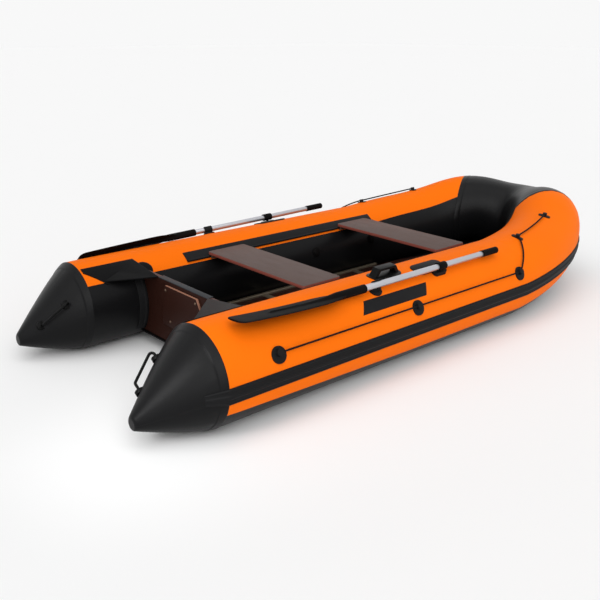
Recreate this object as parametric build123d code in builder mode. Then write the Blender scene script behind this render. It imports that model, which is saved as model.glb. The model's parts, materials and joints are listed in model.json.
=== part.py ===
"""Inflatable boat with a plywood transom, sliding seats and a pair of oars, in millimetres.

X runs to the bow, Y to port and Z up from the ground, with the origin under the middle of the boat.
Places along the boat are measured forward from the stern cone seams, and angles on a tube are
counted up from its outboard side.
"""

import math
import os

from build123d import *

os.makedirs("parts", exist_ok=True)

# Buoyancy tube
tube_r = 200
tube_y = 488
bow_start = 1824
bow_len = 981
bow_power = 1.08
bow_sheer = 78
shoulder_rise = 56
shoulder_at = 0.61
shoulder_spread = 0.18
seam_back = 316
seam_half = 234
seam_turn = 27
glue = 0.3

# Stern cones
cone_len = 278
cone_tip_r = 25
cone_tip_z = 101
cone_round = 16
cone_bulge = 1.15

# Rubbing strake round the outside, with a tail on each cone
strake_t = 9
strake_low = -11
strake_high = 7
tail_len = 78
tail_t = 5
tail_sink = 2
tail_low = -2
tail_high = 12

# Transom board with its motor pads and cap
transom_x = 270
transom_t = 27
transom_drop = 46
transom_side = 15
transom_low = 64
transom_lift = 1
pad_t = 12
pad_drop = 18
pad_h = 186
pad_shoulder = 48
pad_half_top = 118
pad_half = 145
cap_half = 187
cap_t = 4
cap_lap = 2

# Corner wings and holders between the transom and the tubes
wing_t = 4
wing_aft = 8
wing_slant = 87
wing_high = 112
wing_tip = 120
wing_low = 143
web_t = 5
web_root = 73
web_root_angle = 138
holder_w = 45
holder_high = 144
holder_low = 218
lip_w = 14
lip_t = 9

# Bottom skin and keel tube
skin_t = 5
skin_lap = 8
keel_z = 16
keel_fall = 450
chine_angle = 226
chine_turn = 14
chine_ramp = 0.3
chine_sink = 4
stem_power = 1.8
keel_r = 26
keel_gap = 4
keel_start = 15

# Floor boards, joiners and stringers
board_t = 9
board_gap = 3
board_back = 8
board_len = 655
joint_gap = 8
joiner_w = 40
joiner_t = 3
joiner_play = 1
nose_start = 60
nose_len = 506
nose_half = 175
stringer_w = 22
stringer_h = 24
stringer_gap = 5
stringer_play = 6

# Seat tracks: a glued strip with a bead along its lower edge
track_aft = 530
track_end = 4
track_t = 4.3
track_high = 121
track_low = 137
bead_r = 5
bead_h = 9
bead_angle = 136

# Sliding seats with hooks under the beads
seat_places = {"aft": 763, "fore": 1646}
seat_w = 220
seat_t = 16
seat_gap = 2.8
seat_over = 8
seat_round = 12
hook_gap = 1.2
hook_t = 6
hook_lip = 4
hook_inset = 10

# Oars, stowed along the tubes with the blades aft
oar_tip = 90
oar_angle = 61.3
oar_h = 33
oar_pitch = {"port": 0.9, "starboard": 0}
blade_len = 540
blade_half = 53
blade_t = 8
blade_roll = {"port": 40, "starboard": 5}
blade_bend = {"port": -8, "starboard": 24}
blade_round = 24
blade_taper = 150
neck_r = 18
neck_len = 162
neck_lap = 40
blade_tuck = 2
rib_len = 330
rib_half = 5
rib_t = 17
shaft_r = 13.5
shaft_len = 860
socket = 52
grip_r = 16
grip_len = 120
grip_hold = 25
grip_round = 6
ring_at = 1149
ring_t = 5
ring_w = 50
pin_r = 7
pin_len = 28
pin_tilt = 15
pin_gap = 0.4
pin_end = 2

# Rowlock bases and oar clips
rowlock_back = 25
rowlock_len = 190
rowlock_w = 76
rowlock_round = 30
rowlock_angle = 73
rowlock_t = 5
boss_len = 84
boss_w = 34
boss_gap = 2.5
clip_fore = 78
clip_w = 46
clip_gap = 1.5
clip_t = 5
clip_high = 100
clip_low = 262
clip_post = 18
clip_base_r = 32
clip_base_t = 5

# Carrying handle on the starboard tube
handle_x = 968
handle_angle = 84
handle_len = 176
handle_w = 80
handle_round = 34
handle_t = 4
arch_len = 156
arch_top = 104
arch_h = 38
arch_w = 36
arch_t = 11

# Bar handles inside the stern cones
bar_ends = ((-92, 143), (-194, 151))
bar_stand = 40
bar_r = 5.5
bar_bend = 12
bar_root = 1
foot_r = 20
foot_t = 5

# Grab line, its round eyes on the straight side and its cleats at the bow
rope_r = 4
rope_h = 12
rope_angle = 26
rope_gap = 0.4
rope_bend = (0.021, 46)
rope_top = (0.22, 78)
eye_places = (235, 1010, 1762)
eye_r = 33
eye_t = 5
eye_angle = 24
knob_r = 15
knob_h = 19
cleat_places = ((0.0915, 75.5), (0.36, 79))
cleat_len = 62
cleat_w = 26
cleat_t = 4
cleat_post = 22
cleat_h = 18

# Valves, side patches and tow eye
valve_places = (1333, 1765)
valve_angle = 165
valve_r = 26
valve_t = 4
valve_cap_r = 17
valve_cap_h = 10
patch_aft = 694
patch_len = 390
patch_slant = 42
patch_low = 35.3
patch_high = 51.5
patch_t = 1.5
tow_angle = -38
tow_base_r = 42
tow_base_t = 5
tow_eye_r = 10
tow_lug_r = 23
tow_lug_t = 14
tow_stand = 30

# Sizes worked out from those above
mid = (bow_start + bow_len + tube_r + glue + strake_t - cone_len) / 2
sides = {"port": 1, "starboard": -1}
bow_stops = [k / 12 for k in range(13)]
bow_sections = [(t, 1) for t in bow_stops] + [(t, -1) for t in reversed(bow_stops[:-1])]
stem_first = 8
cone_stops = (0, 0.08, 0.25, 0.5, 0.75, 1)
tail_stops = (0, 1 / 3, 2 / 3, 1)
transom_top = 2 * tube_r - transom_drop
oar_y = tube_y + (tube_r + oar_h) * math.cos(math.radians(oar_angle))
oar_z = tube_r + (tube_r + oar_h) * math.sin(math.radians(oar_angle))
neck_fore = oar_tip + blade_len - neck_lap + neck_len
shaft_aft = neck_fore - socket
grip_aft = shaft_aft + shaft_len - grip_hold
ring_x = oar_tip + ring_at
ring_r = shaft_r + ring_t
base_x = ring_x - rowlock_back
keel_mid = keel_z + skin_t + keel_gap + keel_r
board_z = keel_mid + keel_r + board_gap


def shoulder(t):
    """Extra height of the tube centre at the shoulders of the bow."""
    start, here = [math.exp(-(((k - shoulder_at) / shoulder_spread) ** 2)) for k in (0, t)]
    return shoulder_rise * (here - start)


def spine(t, side):
    """Centre of the bow tube, t from 0 at the start of the curve to 1 on the centre line."""
    turn = math.radians(90 * t)
    reach = math.sin(turn) ** bow_power
    y = side * tube_y * max(math.cos(turn), 0) ** bow_power
    return Vector(bow_start - mid + bow_len * reach, y, tube_r + bow_sheer * reach + shoulder(t))


def section(t, side):
    """Plane across the bow tube, its x axis pointing outboard and its y axis up."""
    along = Vector(0, -side, 0) if t == 1 else Vector(1, 0, 0)
    if 0 < t < 1:
        along = spine(t + 0.001, side) - spine(t - 0.001, side)
    out = Vector(-along.Y, along.X, 0) * side
    return Plane(origin=spine(t, side), x_dir=out, z_dir=along * side)


def flank(x, side):
    """Plane across the straight side tube, its x axis pointing outboard and its y axis up."""
    return Plane(origin=(x - mid, side * tube_y, tube_r), x_dir=(0, side, 0), z_dir=(side, 0, 0))


def cone_r(x):
    """Radius of a stern cone at a place aft of its seam."""
    return tube_r + (cone_tip_r - tube_r) * (-x / cone_len) ** cone_bulge


def cone_plane(x, side):
    """Plane across a stern cone."""
    z = tube_r + (cone_tip_z - tube_r) * -x / cone_len
    return Plane(origin=(x - mid, side * tube_y, z), x_dir=(0, side, 0), z_dir=(side, 0, 0))


def polar(r, angle):
    """Point at a radius and an angle up from outboard."""
    return (r * math.cos(math.radians(angle)), r * math.sin(math.radians(angle)))


def on_tube(across, r, angle):
    """Point at a radius and an angle on a plane across a tube."""
    return across.from_local_coords(Vector(*polar(r, angle), 0))


def skin_plane(across, r, angle):
    """Plane lying on a tube, its normal pointing out and its x axis along the boat."""
    origin = on_tube(across, r, angle)
    normal = on_tube(across, r + 1, angle) - origin
    ahead = across.z_dir * (1 if across.z_dir.X > 0 else -1)
    return Plane(origin=origin, x_dir=ahead, z_dir=normal)


def band(plane, r_in, r_out, low, high):
    """Slice of a ring about the plane's origin."""
    with BuildSketch(plane, mode=Mode.PRIVATE) as piece:
        with BuildLine():
            CenterArc((0, 0), r_out, low, high - low)
            Line(polar(r_out, high), polar(r_in, high))
            CenterArc((0, 0), r_in, low, high - low)
            Line(polar(r_in, low), polar(r_out, low))
        make_face()
    return piece.sketch


def bow_sleeve(r, skip):
    """Bow ring at some radius, less a few sections at both ends."""
    with BuildPart() as sleeve:
        for t, side in bow_sections[skip : len(bow_sections) - skip]:
            with BuildSketch(section(t, side)):
                Circle(r)
        loft()
    return sleeve.part


def cone_body(side, proud):
    """Stern cone with its skin moved out."""
    with BuildPart() as body:
        for share in cone_stops:
            x = -share * cone_len
            with BuildSketch(cone_plane(x, side)):
                Circle(cone_r(x) + proud)
        loft()
    return body.part


def tail_slice(share, side):
    """Slice of the strake's tail, sunk a little into the cone."""
    x = -share * tail_len
    r = cone_r(x) - tail_sink
    thick = strake_t + (tail_t - strake_t) * share + tail_sink
    low = strake_low + (tail_low - strake_low) * share
    high = strake_high + (tail_high - strake_high) * share
    return band(cone_plane(x, side), r, r + glue + thick, low, high)


def strake_slice(t, side):
    """Slice of the strake on the bow, which keeps to a fair line below the shoulders."""
    drop = math.degrees(math.asin(shoulder(t) / tube_r))
    return band(section(t, side), strake_in, strake_out, strake_low - drop, strake_high - drop)


def save(part, label):
    """Name a piece and write its file."""
    part.label = label
    export_step(part, f"parts/{label}.step")


# Bow ring, one loft from the port side round to the starboard side
bow_ring = bow_sleeve(tube_r, 0)

# Side tubes up to the slanting bow seams, and the bow segment between these
seams = {}
for name, side in sides.items():
    slant = math.radians(seam_turn)
    seams[name] = Plane(
        origin=(bow_start + bow_len - seam_back - mid, side * seam_half, tube_r),
        z_dir=(math.sin(slant), -side * math.cos(slant), 0),
    )
    with BuildPart() as tube:
        add(bow_ring)
        split(bisect_by=seams[name], keep=Keep.BOTTOM)
        with BuildSketch(flank(0, side)):
            Circle(tube_r)
        extrude(amount=side * bow_start)
    save(tube.part, f"tube_{name}")

with BuildPart() as bow:
    add(bow_ring)
    for seam in seams.values():
        split(bisect_by=seam, keep=Keep.TOP)
save(bow.part, "tube_bow")

# Stern cones
for name, side in sides.items():
    with BuildPart() as cone:
        add(cone_body(side, 0))
        fillet(cone.edges().group_by(Axis.X)[0], cone_round)
    save(cone.part, f"cone_{name}")

# Rubbing strake in one run from cone to cone
strake_in = tube_r + glue
strake_out = strake_in + strake_t
with BuildPart() as strake:
    for side in sides.values():
        root = band(flank(0, side), strake_in, strake_out, strake_low, strake_high)
        extrude(root, amount=side * bow_start)
        loft([tail_slice(share, side) for share in tail_stops])
        add(cone_body(side, glue), mode=Mode.SUBTRACT)
    loft([strake_slice(t, side) for t, side in bow_sections])
save(strake.part, "rubbing_strake")

# Transom board, cut to the round of the tubes
transom_half = tube_y - math.sqrt(tube_r**2 - (transom_top - tube_r) ** 2) - transom_side
with BuildPart() as transom:
    with BuildSketch(Plane.YZ.offset(transom_x - mid)):
        with Locations((0, (transom_low + transom_top) / 2)):
            Rectangle(2 * transom_half, transom_top - transom_low)
        with Locations((tube_y, tube_r), (-tube_y, tube_r)):
            Circle(tube_r + glue, mode=Mode.SUBTRACT)
    extrude(amount=transom_t)
save(transom.part, "transom_board")

# Motor pads on both faces of the transom
pad_top = transom_top - pad_drop
pad_low = pad_top - pad_h
pad_faces = {"outer": (transom_x, -pad_t), "inner": (transom_x + transom_t, pad_t)}
for name, (face, push) in pad_faces.items():
    with BuildPart() as pad:
        with BuildSketch(Plane.YZ.offset(face - mid)):
            with BuildLine():
                Polyline(
                    (pad_half_top, pad_top),
                    (-pad_half_top, pad_top),
                    (-pad_half, pad_top - pad_shoulder),
                    (-pad_half, pad_low),
                    (pad_half, pad_low),
                    (pad_half, pad_top - pad_shoulder),
                    close=True,
                )
            make_face()
        extrude(amount=push)
    save(pad.part, f"motor_pad_{name}")

with BuildPart() as cap:
    with BuildSketch(Plane.XY.offset(transom_top)):
        with Locations((transom_x + transom_t / 2 - mid, 0)):
            Rectangle(transom_t + 2 * cap_lap, 2 * cap_half)
    extrude(amount=cap_t)
save(cap.part, "transom_cap")

# Corner wings: a patch on the tube and a web across to the transom top
for name, side in sides.items():
    patch_in = tube_r + glue
    patch_out = patch_in + wing_t
    with BuildPart() as wing:
        extrude(
            band(flank(wing_aft, side), patch_in, patch_out, wing_high, wing_low),
            amount=side * (transom_x - wing_aft),
        )
        middle = (wing_high + wing_low) / 2
        lie = skin_plane(flank(wing_aft, side), patch_in, middle)
        outline = [
            (0, wing_high),
            (transom_x - wing_aft, wing_high),
            (transom_x - wing_aft, wing_low),
            (wing_slant, wing_low),
            (0, wing_tip),
        ]
        spread = [(x, side * patch_out * math.tan(math.radians(middle - angle))) for x, angle in outline]
        with BuildSketch(lie):
            with BuildLine():
                Polyline(*spread, close=True)
            make_face()
        extrude(amount=tube_r / 4, both=True, mode=Mode.INTERSECT)
        root = on_tube(flank(wing_aft + web_root, side), patch_out, web_root_angle)
        peak = on_tube(flank(transom_x, side), patch_out, wing_high)
        corner = Vector(transom_x - mid, side * cap_half, transom_top + cap_t)
        sheet = Plane(origin=root, x_dir=peak - root, z_dir=(peak - root).cross(corner - root) * side)
        with BuildSketch(sheet):
            with BuildLine():
                Polyline(*[sheet.to_local_coords(point) for point in (root, peak, corner)], close=True)
            make_face()
        extrude(amount=web_t)
        with BuildSketch(flank(0, side)):
            Circle(patch_in)
        extrude(amount=side * transom_x, mode=Mode.SUBTRACT)
        with BuildSketch(Plane.YZ.offset(transom_x - mid)):
            Rectangle(4 * tube_y, 4 * tube_y)
        extrude(amount=transom_t, mode=Mode.SUBTRACT)
    save(wing.part, f"transom_wing_{name}")

    with BuildPart() as holder:
        for width, thick in ((holder_w, wing_t), (lip_w, lip_t)):
            extrude(
                band(flank(transom_x - width, side), patch_in, patch_in + thick, holder_high, holder_low),
                amount=side * width,
            )
    save(holder.part, f"transom_holder_{name}")

# Bottom skin between the chines, falling from the transom to the keel and rising to the stem
chine = polar(tube_r - chine_sink, chine_angle)
chine_y = tube_y + chine[0]
chine_z = tube_r + chine[1]
with BuildPart() as bottom:
    stem = on_tube(section(1, 1), tube_r - chine_sink, chine_angle + chine_turn)
    aft_low = transom_low - transom_lift - skin_t
    ribs = [(transom_x - skin_lap - mid, chine_y, chine_z, aft_low)]
    ribs.append((transom_x + keel_fall - mid, chine_y, chine_z, keel_z))
    for t in (0, 0.1, 0.2, 0.3, 0.4, 0.5, 0.6, 0.7, 0.8, 0.88, 0.94, 0.98):
        sink = math.degrees(shoulder(t) / abs(chine[0])) + chine_turn * min(1, t / chine_ramp)
        edge = on_tube(section(t, 1), tube_r - chine_sink, chine_angle + sink)
        share = max(0, edge.X - (bow_start - mid)) / (stem.X - (bow_start - mid))
        ribs.append((edge.X, edge.Y, edge.Z, keel_z + (stem.Z - skin_t - keel_z) * share**stem_power))
    for x, y, z, low in ribs:
        with BuildSketch(Plane.YZ.offset(x)):
            with BuildLine():
                Polyline(
                    (y, z),
                    (y, z - skin_t),
                    (0, low),
                    (-y, z - skin_t),
                    (-y, z),
                    (0, low + skin_t),
                    close=True,
                )
            make_face()
    loft(ruled=True)
    add(bow_sleeve(tube_r + glue, 0), mode=Mode.SUBTRACT)
    for side in sides.values():
        with BuildSketch(flank(0, side)):
            Circle(tube_r + glue)
        extrude(amount=side * bow_start, mode=Mode.SUBTRACT)
save(bottom.part, "bottom_skin")

with BuildPart() as keel:
    keel_aft = transom_x + keel_fall + keel_start
    with BuildSketch(Plane.YZ.offset(keel_aft - mid)):
        with Locations((0, keel_mid)):
            Circle(keel_r)
    extrude(amount=bow_start - keel_aft)
save(keel.part, "keel_tube")

# Floor boards between two stringers
stringer_mid = board_z + board_t / 2
wall_y = tube_y - math.sqrt(tube_r**2 - (tube_r - stringer_mid - stringer_h / 2) ** 2)
stringer_y = wall_y - stringer_gap - stringer_w / 2
board_half = stringer_y - stringer_w / 2 - stringer_play
board_aft = transom_x + transom_t + board_back
joints = [board_aft + board_len + joint_gap / 2]
joints.append(joints[0] + board_len + joint_gap)
for name, joint in zip(("aft", "mid"), joints):
    with BuildPart() as board:
        with BuildSketch(Plane.XY.offset(board_z)):
            with Locations((joint - (joint_gap + board_len) / 2 - mid, 0)):
                Rectangle(board_len, 2 * board_half)
        extrude(amount=board_t)
    save(board.part, f"floor_board_{name}")

with BuildPart() as board:
    start = joints[1] + joint_gap / 2 - mid
    bend = bow_start + nose_start - mid
    nose = bow_start + nose_len - mid
    with BuildSketch(Plane.XY.offset(board_z)):
        with BuildLine():
            Line((start, -board_half), (start, board_half))
            for sign in (1, -1):
                Line((start, sign * board_half), (bend, sign * board_half))
                TangentArc((bend, sign * board_half), (nose, sign * nose_half), tangent=(1, 0))
            Line((nose, nose_half), (nose, -nose_half))
        make_face()
    extrude(amount=board_t)
save(board.part, "floor_board_fore")

with BuildPart() as joiners:
    for joint in joints:
        with Locations((joint - mid, 0, board_z + board_t + glue + joiner_t / 2)):
            Box(joiner_w, 2 * board_half, joiner_t)
        with Locations((joint - mid, 0, board_z + board_t / 2 + glue)):
            Box(joint_gap - 2 * joiner_play, 2 * board_half, board_t)
save(joiners.part, "floor_joiners")

for name, side in sides.items():
    with BuildPart() as stringer:
        with Locations(((board_aft + bow_start) / 2 - mid, side * stringer_y, stringer_mid)):
            Box(bow_start - board_aft, stringer_w, stringer_h)
    save(stringer.part, f"floor_stringer_{name}")

# Seat tracks
bead = polar(tube_r + bead_h, bead_angle)
track_len = bow_start - track_end - track_aft
for name, side in sides.items():
    with BuildPart() as track:
        strip = band(flank(track_aft, side), tube_r + glue, tube_r + glue + track_t, track_high, track_low)
        extrude(strip, amount=side * track_len)
        with BuildSketch(flank(track_aft, side)):
            with Locations(bead):
                Circle(bead_r)
        extrude(amount=side * track_len)
    save(track.part, f"seat_track_{name}")

# Seats, each with a pair of hooks that ride under the beads
seat_under = tube_r + bead[1] + bead_r + seat_gap
seat_half = tube_y + bead[0] + seat_over
for name, x in seat_places.items():
    with BuildPart() as seat:
        with Locations((x - mid, 0, seat_under + seat_t / 2)):
            Box(seat_w, 2 * seat_half, seat_t)
        fillet(seat.edges().filter_by(Axis.Z), seat_round)
    save(seat.part, f"seat_{name}")

    with BuildPart() as hooks:
        for side in sides.values():
            wall = bead[0] - bead_r - hook_gap
            floor = bead[1] - bead_r - hook_gap
            roof = seat_under - tube_r
            with BuildSketch(flank(x - seat_w / 2 + hook_inset, side)):
                with BuildLine():
                    Polyline(
                        (wall, roof),
                        (wall - hook_t, roof),
                        (wall - hook_t, floor - hook_lip),
                        (bead[0], floor - hook_lip),
                        (bead[0], floor),
                        (wall, floor),
                        close=True,
                    )
                make_face()
            extrude(amount=side * (seat_w - 2 * hook_inset))
    save(hooks.part, f"seat_hooks_{name}")

# Oars with their rowlock bases and clips
for name, side in sides.items():
    pitch = math.radians(oar_pitch[name])
    roll = math.radians(blade_roll[name])
    along = Vector(math.cos(pitch), 0, math.sin(pitch))
    centre = Vector(ring_x - mid, side * oar_y, oar_z)
    wide = Vector(0, math.sin(roll), math.cos(roll)).cross(along)
    axis = Plane(origin=centre - along * ring_x, x_dir=along.cross(wide), z_dir=along)
    flat = Plane(origin=axis.origin, x_dir=along, z_dir=along.cross(wide))
    edge_on = Plane(origin=axis.origin, x_dir=along, z_dir=-wide)
    with BuildPart() as shaft:
        with BuildSketch(axis.offset(shaft_aft)):
            Circle(shaft_r)
        extrude(amount=shaft_len)
    save(shaft.part, f"oar_shaft_{name}")

    with BuildPart() as grip:
        with BuildSketch(axis.offset(grip_aft)):
            Circle(grip_r)
        extrude(amount=grip_len)
        fillet(grip.edges().group_by(Axis.X)[-1], grip_round)
        with BuildSketch(axis.offset(grip_aft)):
            Circle(shaft_r)
        extrude(amount=grip_hold, mode=Mode.SUBTRACT)
    save(grip.part, f"oar_grip_{name}")

    root = oar_tip + blade_len
    bend = abs(blade_bend[name])
    rib_fore = root - neck_lap
    root_half = neck_r - blade_tuck
    plates = []
    for thick in (blade_t, rib_t):
        with BuildPart() as plate:
            with BuildSketch(flat) as outline:
                with BuildLine():
                    if thick == blade_t:
                        Line((oar_tip, blade_half), (oar_tip, -blade_half))
                        for sign in (1, -1):
                            widest = (root - blade_taper, sign * blade_half)
                            Line((oar_tip, sign * blade_half), widest)
                            TangentArc(widest, (root, sign * root_half), tangent=(1, 0))
                        Line((root, root_half), (root, -root_half))
                    else:
                        Polyline(
                            (rib_fore, neck_r / 2),
                            (rib_fore, -neck_r / 2),
                            (rib_fore - rib_len, -rib_half),
                            (rib_fore - rib_len, rib_half),
                            close=True,
                        )
                make_face()
                if thick == blade_t:
                    fillet(outline.vertices().group_by(Axis.X)[0], blade_round)
            extrude(amount=2 * blade_half, both=True)
            with BuildSketch(edge_on):
                with BuildLine():
                    for level in (thick / 2, -thick / 2):
                        TangentArc((root, level), (oar_tip, bend + level), tangent=(-1, 0))
                    Line((root, thick / 2), (root, -thick / 2))
                    tip = [(oar_tip, bend + level) for level in (thick / 2, -thick / 2)]
                    Line(*tip)
                make_face()
            extrude(amount=2 * blade_half, both=True, mode=Mode.INTERSECT)
        plates.append(plate.part)
    with BuildPart() as blade:
        for plate in plates:
            add(plate)
        with BuildSketch(axis.offset(rib_fore)):
            Circle(neck_r)
        extrude(amount=neck_len)
        with BuildSketch(axis.offset(shaft_aft)):
            Circle(shaft_r)
        extrude(amount=socket, mode=Mode.SUBTRACT)
        if blade_bend[name] < 0:
            mirror(about=flat, mode=Mode.REPLACE)
    save(blade.part, f"oar_blade_{name}")

    rise = (0, side * math.sin(math.radians(pin_tilt)), math.cos(math.radians(pin_tilt)))
    pin = Plane(origin=centre, x_dir=(1, 0, 0), z_dir=rise)
    with BuildPart() as ring:
        with BuildSketch(axis.offset(ring_x - ring_w / 2)):
            Circle(ring_r)
        extrude(amount=ring_w)
        with BuildSketch(pin.offset(-pin_len)):
            Circle(pin_r)
        extrude(amount=pin_len)
        with BuildSketch(axis.offset(ring_x - ring_w / 2)):
            Circle(shaft_r)
        extrude(amount=ring_w, mode=Mode.SUBTRACT)
    save(ring.part, f"oar_ring_{name}")

    with BuildPart() as rowlock:
        with BuildSketch(flank(base_x - rowlock_len, side)):
            Circle(tube_r + glue + rowlock_t)
        extrude(amount=side * 2 * rowlock_len)
        with BuildSketch(skin_plane(flank(base_x, side), tube_r, rowlock_angle)):
            RectangleRounded(rowlock_len, rowlock_w, rowlock_round)
        extrude(amount=tube_r / 4, both=True, mode=Mode.INTERSECT)
        with BuildSketch(pin.offset(-oar_h - boss_w / 2)):
            SlotOverall(boss_len, boss_w)
        extrude(amount=oar_h + boss_w / 2 - ring_r - boss_gap)
        with BuildSketch(flank(base_x - rowlock_len, side)):
            Circle(tube_r + glue)
        extrude(amount=side * 2 * rowlock_len, mode=Mode.SUBTRACT)
        with BuildSketch(pin.offset(-pin_len - pin_end)):
            Circle(pin_r + pin_gap)
        extrude(amount=pin_len, mode=Mode.SUBTRACT)
    save(rowlock.part, f"rowlock_{name}")

    clip_x = neck_fore + clip_fore
    with BuildPart() as clip:
        seat_plane = skin_plane(flank(clip_x, side), tube_r, oar_angle)
        with BuildSketch(seat_plane.offset(-clip_base_r / 3)):
            Circle(clip_base_r)
        extrude(amount=clip_base_r / 3 + clip_base_t)
        with BuildSketch(seat_plane):
            Rectangle(clip_w, clip_post)
        drop = (ring_x - clip_x) * math.tan(pitch)
        extrude(amount=oar_h - drop - shaft_r - clip_gap)
        cradle_in = shaft_r + clip_gap
        cradle = Plane(
            origin=axis.origin + along * (clip_x - clip_w / 2), x_dir=(0, side, 0), z_dir=along * side
        )
        with BuildSketch(cradle):
            Circle(cradle_in)
        extrude(amount=side * clip_w, mode=Mode.SUBTRACT)
        extrude(band(cradle, cradle_in, cradle_in + clip_t, clip_high, clip_low), amount=side * clip_w)
        with BuildSketch(flank(clip_x - clip_base_r, side)):
            Circle(tube_r + glue)
        extrude(amount=side * 2 * clip_base_r, mode=Mode.SUBTRACT)
    save(clip.part, f"oar_clip_{name}")

# Carrying handle on the starboard tube
with BuildPart() as handle:
    across = flank(handle_x, -1)
    lie = skin_plane(across, tube_r + glue, handle_angle)
    with BuildSketch(flank(handle_x - handle_len, -1)):
        Circle(tube_r + glue + handle_t)
    extrude(amount=-2 * handle_len)
    with BuildSketch(lie):
        RectangleRounded(handle_len, handle_w, handle_round)
    extrude(amount=tube_r / 4, both=True, mode=Mode.INTERSECT)
    side_on = Plane(origin=lie.origin, x_dir=lie.x_dir, z_dir=lie.x_dir.cross(lie.z_dir))
    with BuildSketch(side_on):
        with BuildLine():
            Polyline(
                (-arch_len / 2, 0),
                (-arch_top / 2, arch_h),
                (arch_top / 2, arch_h),
                (arch_len / 2, 0),
                close=True,
            )
        make_face()
        with BuildLine():
            inner = arch_h - arch_t
            Polyline(
                (-arch_len / 2 + 2 * arch_t, handle_t),
                (-arch_top / 2 + arch_t, inner),
                (arch_top / 2 - arch_t, inner),
                (arch_len / 2 - 2 * arch_t, handle_t),
                close=True,
            )
        make_face(mode=Mode.SUBTRACT)
    extrude(amount=arch_w / 2, both=True)
    with BuildSketch(flank(handle_x - handle_len, -1)):
        Circle(tube_r + glue)
    extrude(amount=-2 * handle_len, mode=Mode.SUBTRACT)
save(handle.part, "carry_handle_starboard")

# Bar handles inside the stern cones
for name, side in sides.items():
    feet = [skin_plane(cone_plane(x, side), cone_r(x), angle) for x, angle in bar_ends]
    tops = [foot.from_local_coords(Vector(0, 0, bar_stand)) for foot in feet]
    roots = [foot.from_local_coords(Vector(0, 0, bar_root)) for foot in feet]
    with BuildPart() as bar:
        with BuildLine() as route:
            FilletPolyline(roots[0], tops[0], tops[1], roots[1], radius=bar_bend)
        with BuildSketch(Plane(origin=roots[0], z_dir=tops[0] - roots[0])):
            Circle(bar_r)
        sweep(path=route.line)
        for foot in feet:
            with BuildSketch(foot.offset(-foot_r / 2)):
                Circle(foot_r)
            extrude(amount=foot_r / 2 + foot_t)
        add(cone_body(side, glue), mode=Mode.SUBTRACT)
    save(bar.part, f"stern_handle_{name}")

# Grab line on each side with its eyes and cleats
for name, side in sides.items():
    rope_at = tube_r + rope_h
    start = on_tube(flank(eye_places[0], side), rope_at, rope_angle)
    turn = on_tube(flank(eye_places[-1], side), rope_at, rope_angle)
    stops = [rope_bend, cleat_places[0], rope_top, cleat_places[1]]
    bend, low, crest, high = [on_tube(section(t, side), rope_at, angle) for t, angle in stops]
    with BuildPart() as rope:
        for points in ((start, turn), (turn, bend, low), (low, crest, high)):
            with BuildLine() as route:
                if len(points) == 2:
                    Line(*points)
                else:
                    ThreePointArc(*points)
            with BuildSketch(Plane(origin=points[0], z_dir=route.line % 0)):
                Circle(rope_r)
            sweep(path=route.line)
        with Locations(turn, low):
            Sphere(rope_r + rope_gap / 2)
    save(rope.part, f"grab_line_{name}")

    with BuildPart() as eyes:
        for x in eye_places:
            lie = skin_plane(flank(x, side), tube_r, eye_angle)
            with BuildSketch(lie.offset(-eye_r / 2)):
                Circle(eye_r)
            extrude(amount=eye_r / 2 + eye_t)
            with BuildSketch(skin_plane(flank(x, side), tube_r, rope_angle)):
                Circle(knob_r)
            extrude(amount=knob_h)
        with BuildSketch(flank(eye_places[0] - eye_r, side)):
            Circle(tube_r + glue)
        extrude(amount=side * (eye_places[-1] - eye_places[0] + 2 * eye_r), mode=Mode.SUBTRACT)
        for t, angle in cleat_places:
            lie = skin_plane(section(t, side), tube_r, angle)
            with BuildSketch(lie.offset(-cleat_w / 2)):
                SlotOverall(cleat_len, cleat_w, rotation=90)
            extrude(amount=cleat_w / 2 + cleat_t)
            with BuildSketch(lie):
                Circle(cleat_post / 2)
            extrude(amount=cleat_h)
            with BuildSketch(section(t, side).offset(-cleat_w)):
                Circle(tube_r + glue)
            extrude(amount=2 * cleat_w, mode=Mode.SUBTRACT)
        for points in ((start, turn), (turn, bend, low), (low, crest, high)):
            with BuildLine() as route:
                if len(points) == 2:
                    Line(*points)
                else:
                    ThreePointArc(*points)
            with BuildSketch(Plane(origin=points[0], z_dir=route.line % 0)):
                Circle(rope_r + rope_gap)
            sweep(path=route.line, mode=Mode.SUBTRACT)
        with Locations(turn, low):
            Sphere(rope_r + rope_gap, mode=Mode.SUBTRACT)
    save(eyes.part, f"grab_line_eyes_{name}")

# Valves on the inner walls and bare patches on the outer ones
for name, side in sides.items():
    with BuildPart() as valves:
        for x in valve_places:
            lie = skin_plane(flank(x, side), tube_r, valve_angle)
            with BuildSketch(lie.offset(-valve_r / 3)):
                Circle(valve_r)
            extrude(amount=valve_r / 3 + valve_t)
            with BuildSketch(lie):
                Circle(valve_cap_r)
            extrude(amount=valve_cap_h)
        with BuildSketch(flank(valve_places[0] - 2 * valve_r, side)):
            Circle(tube_r + glue)
        extrude(amount=side * (valve_places[-1] - valve_places[0] + 4 * valve_r), mode=Mode.SUBTRACT)
    save(valves.part, f"valves_{name}")

    with BuildPart() as patch:
        patch_in = tube_r + glue
        extrude(
            band(flank(patch_aft, side), patch_in, patch_in + patch_t, patch_low, patch_high),
            amount=side * (patch_len + patch_slant),
        )
        middle = (patch_low + patch_high) / 2
        reach = side * patch_in * math.tan(math.radians(patch_high - middle) * 1.1)
        with BuildSketch(skin_plane(flank(patch_aft, side), patch_in, middle)):
            with BuildLine():
                Polyline(
                    (0, reach),
                    (patch_len, reach),
                    (patch_len + patch_slant, -reach),
                    (patch_slant, -reach),
                    close=True,
                )
            make_face()
        extrude(amount=tube_r / 4, both=True, mode=Mode.INTERSECT)
    save(patch.part, f"side_patch_{name}")

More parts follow.
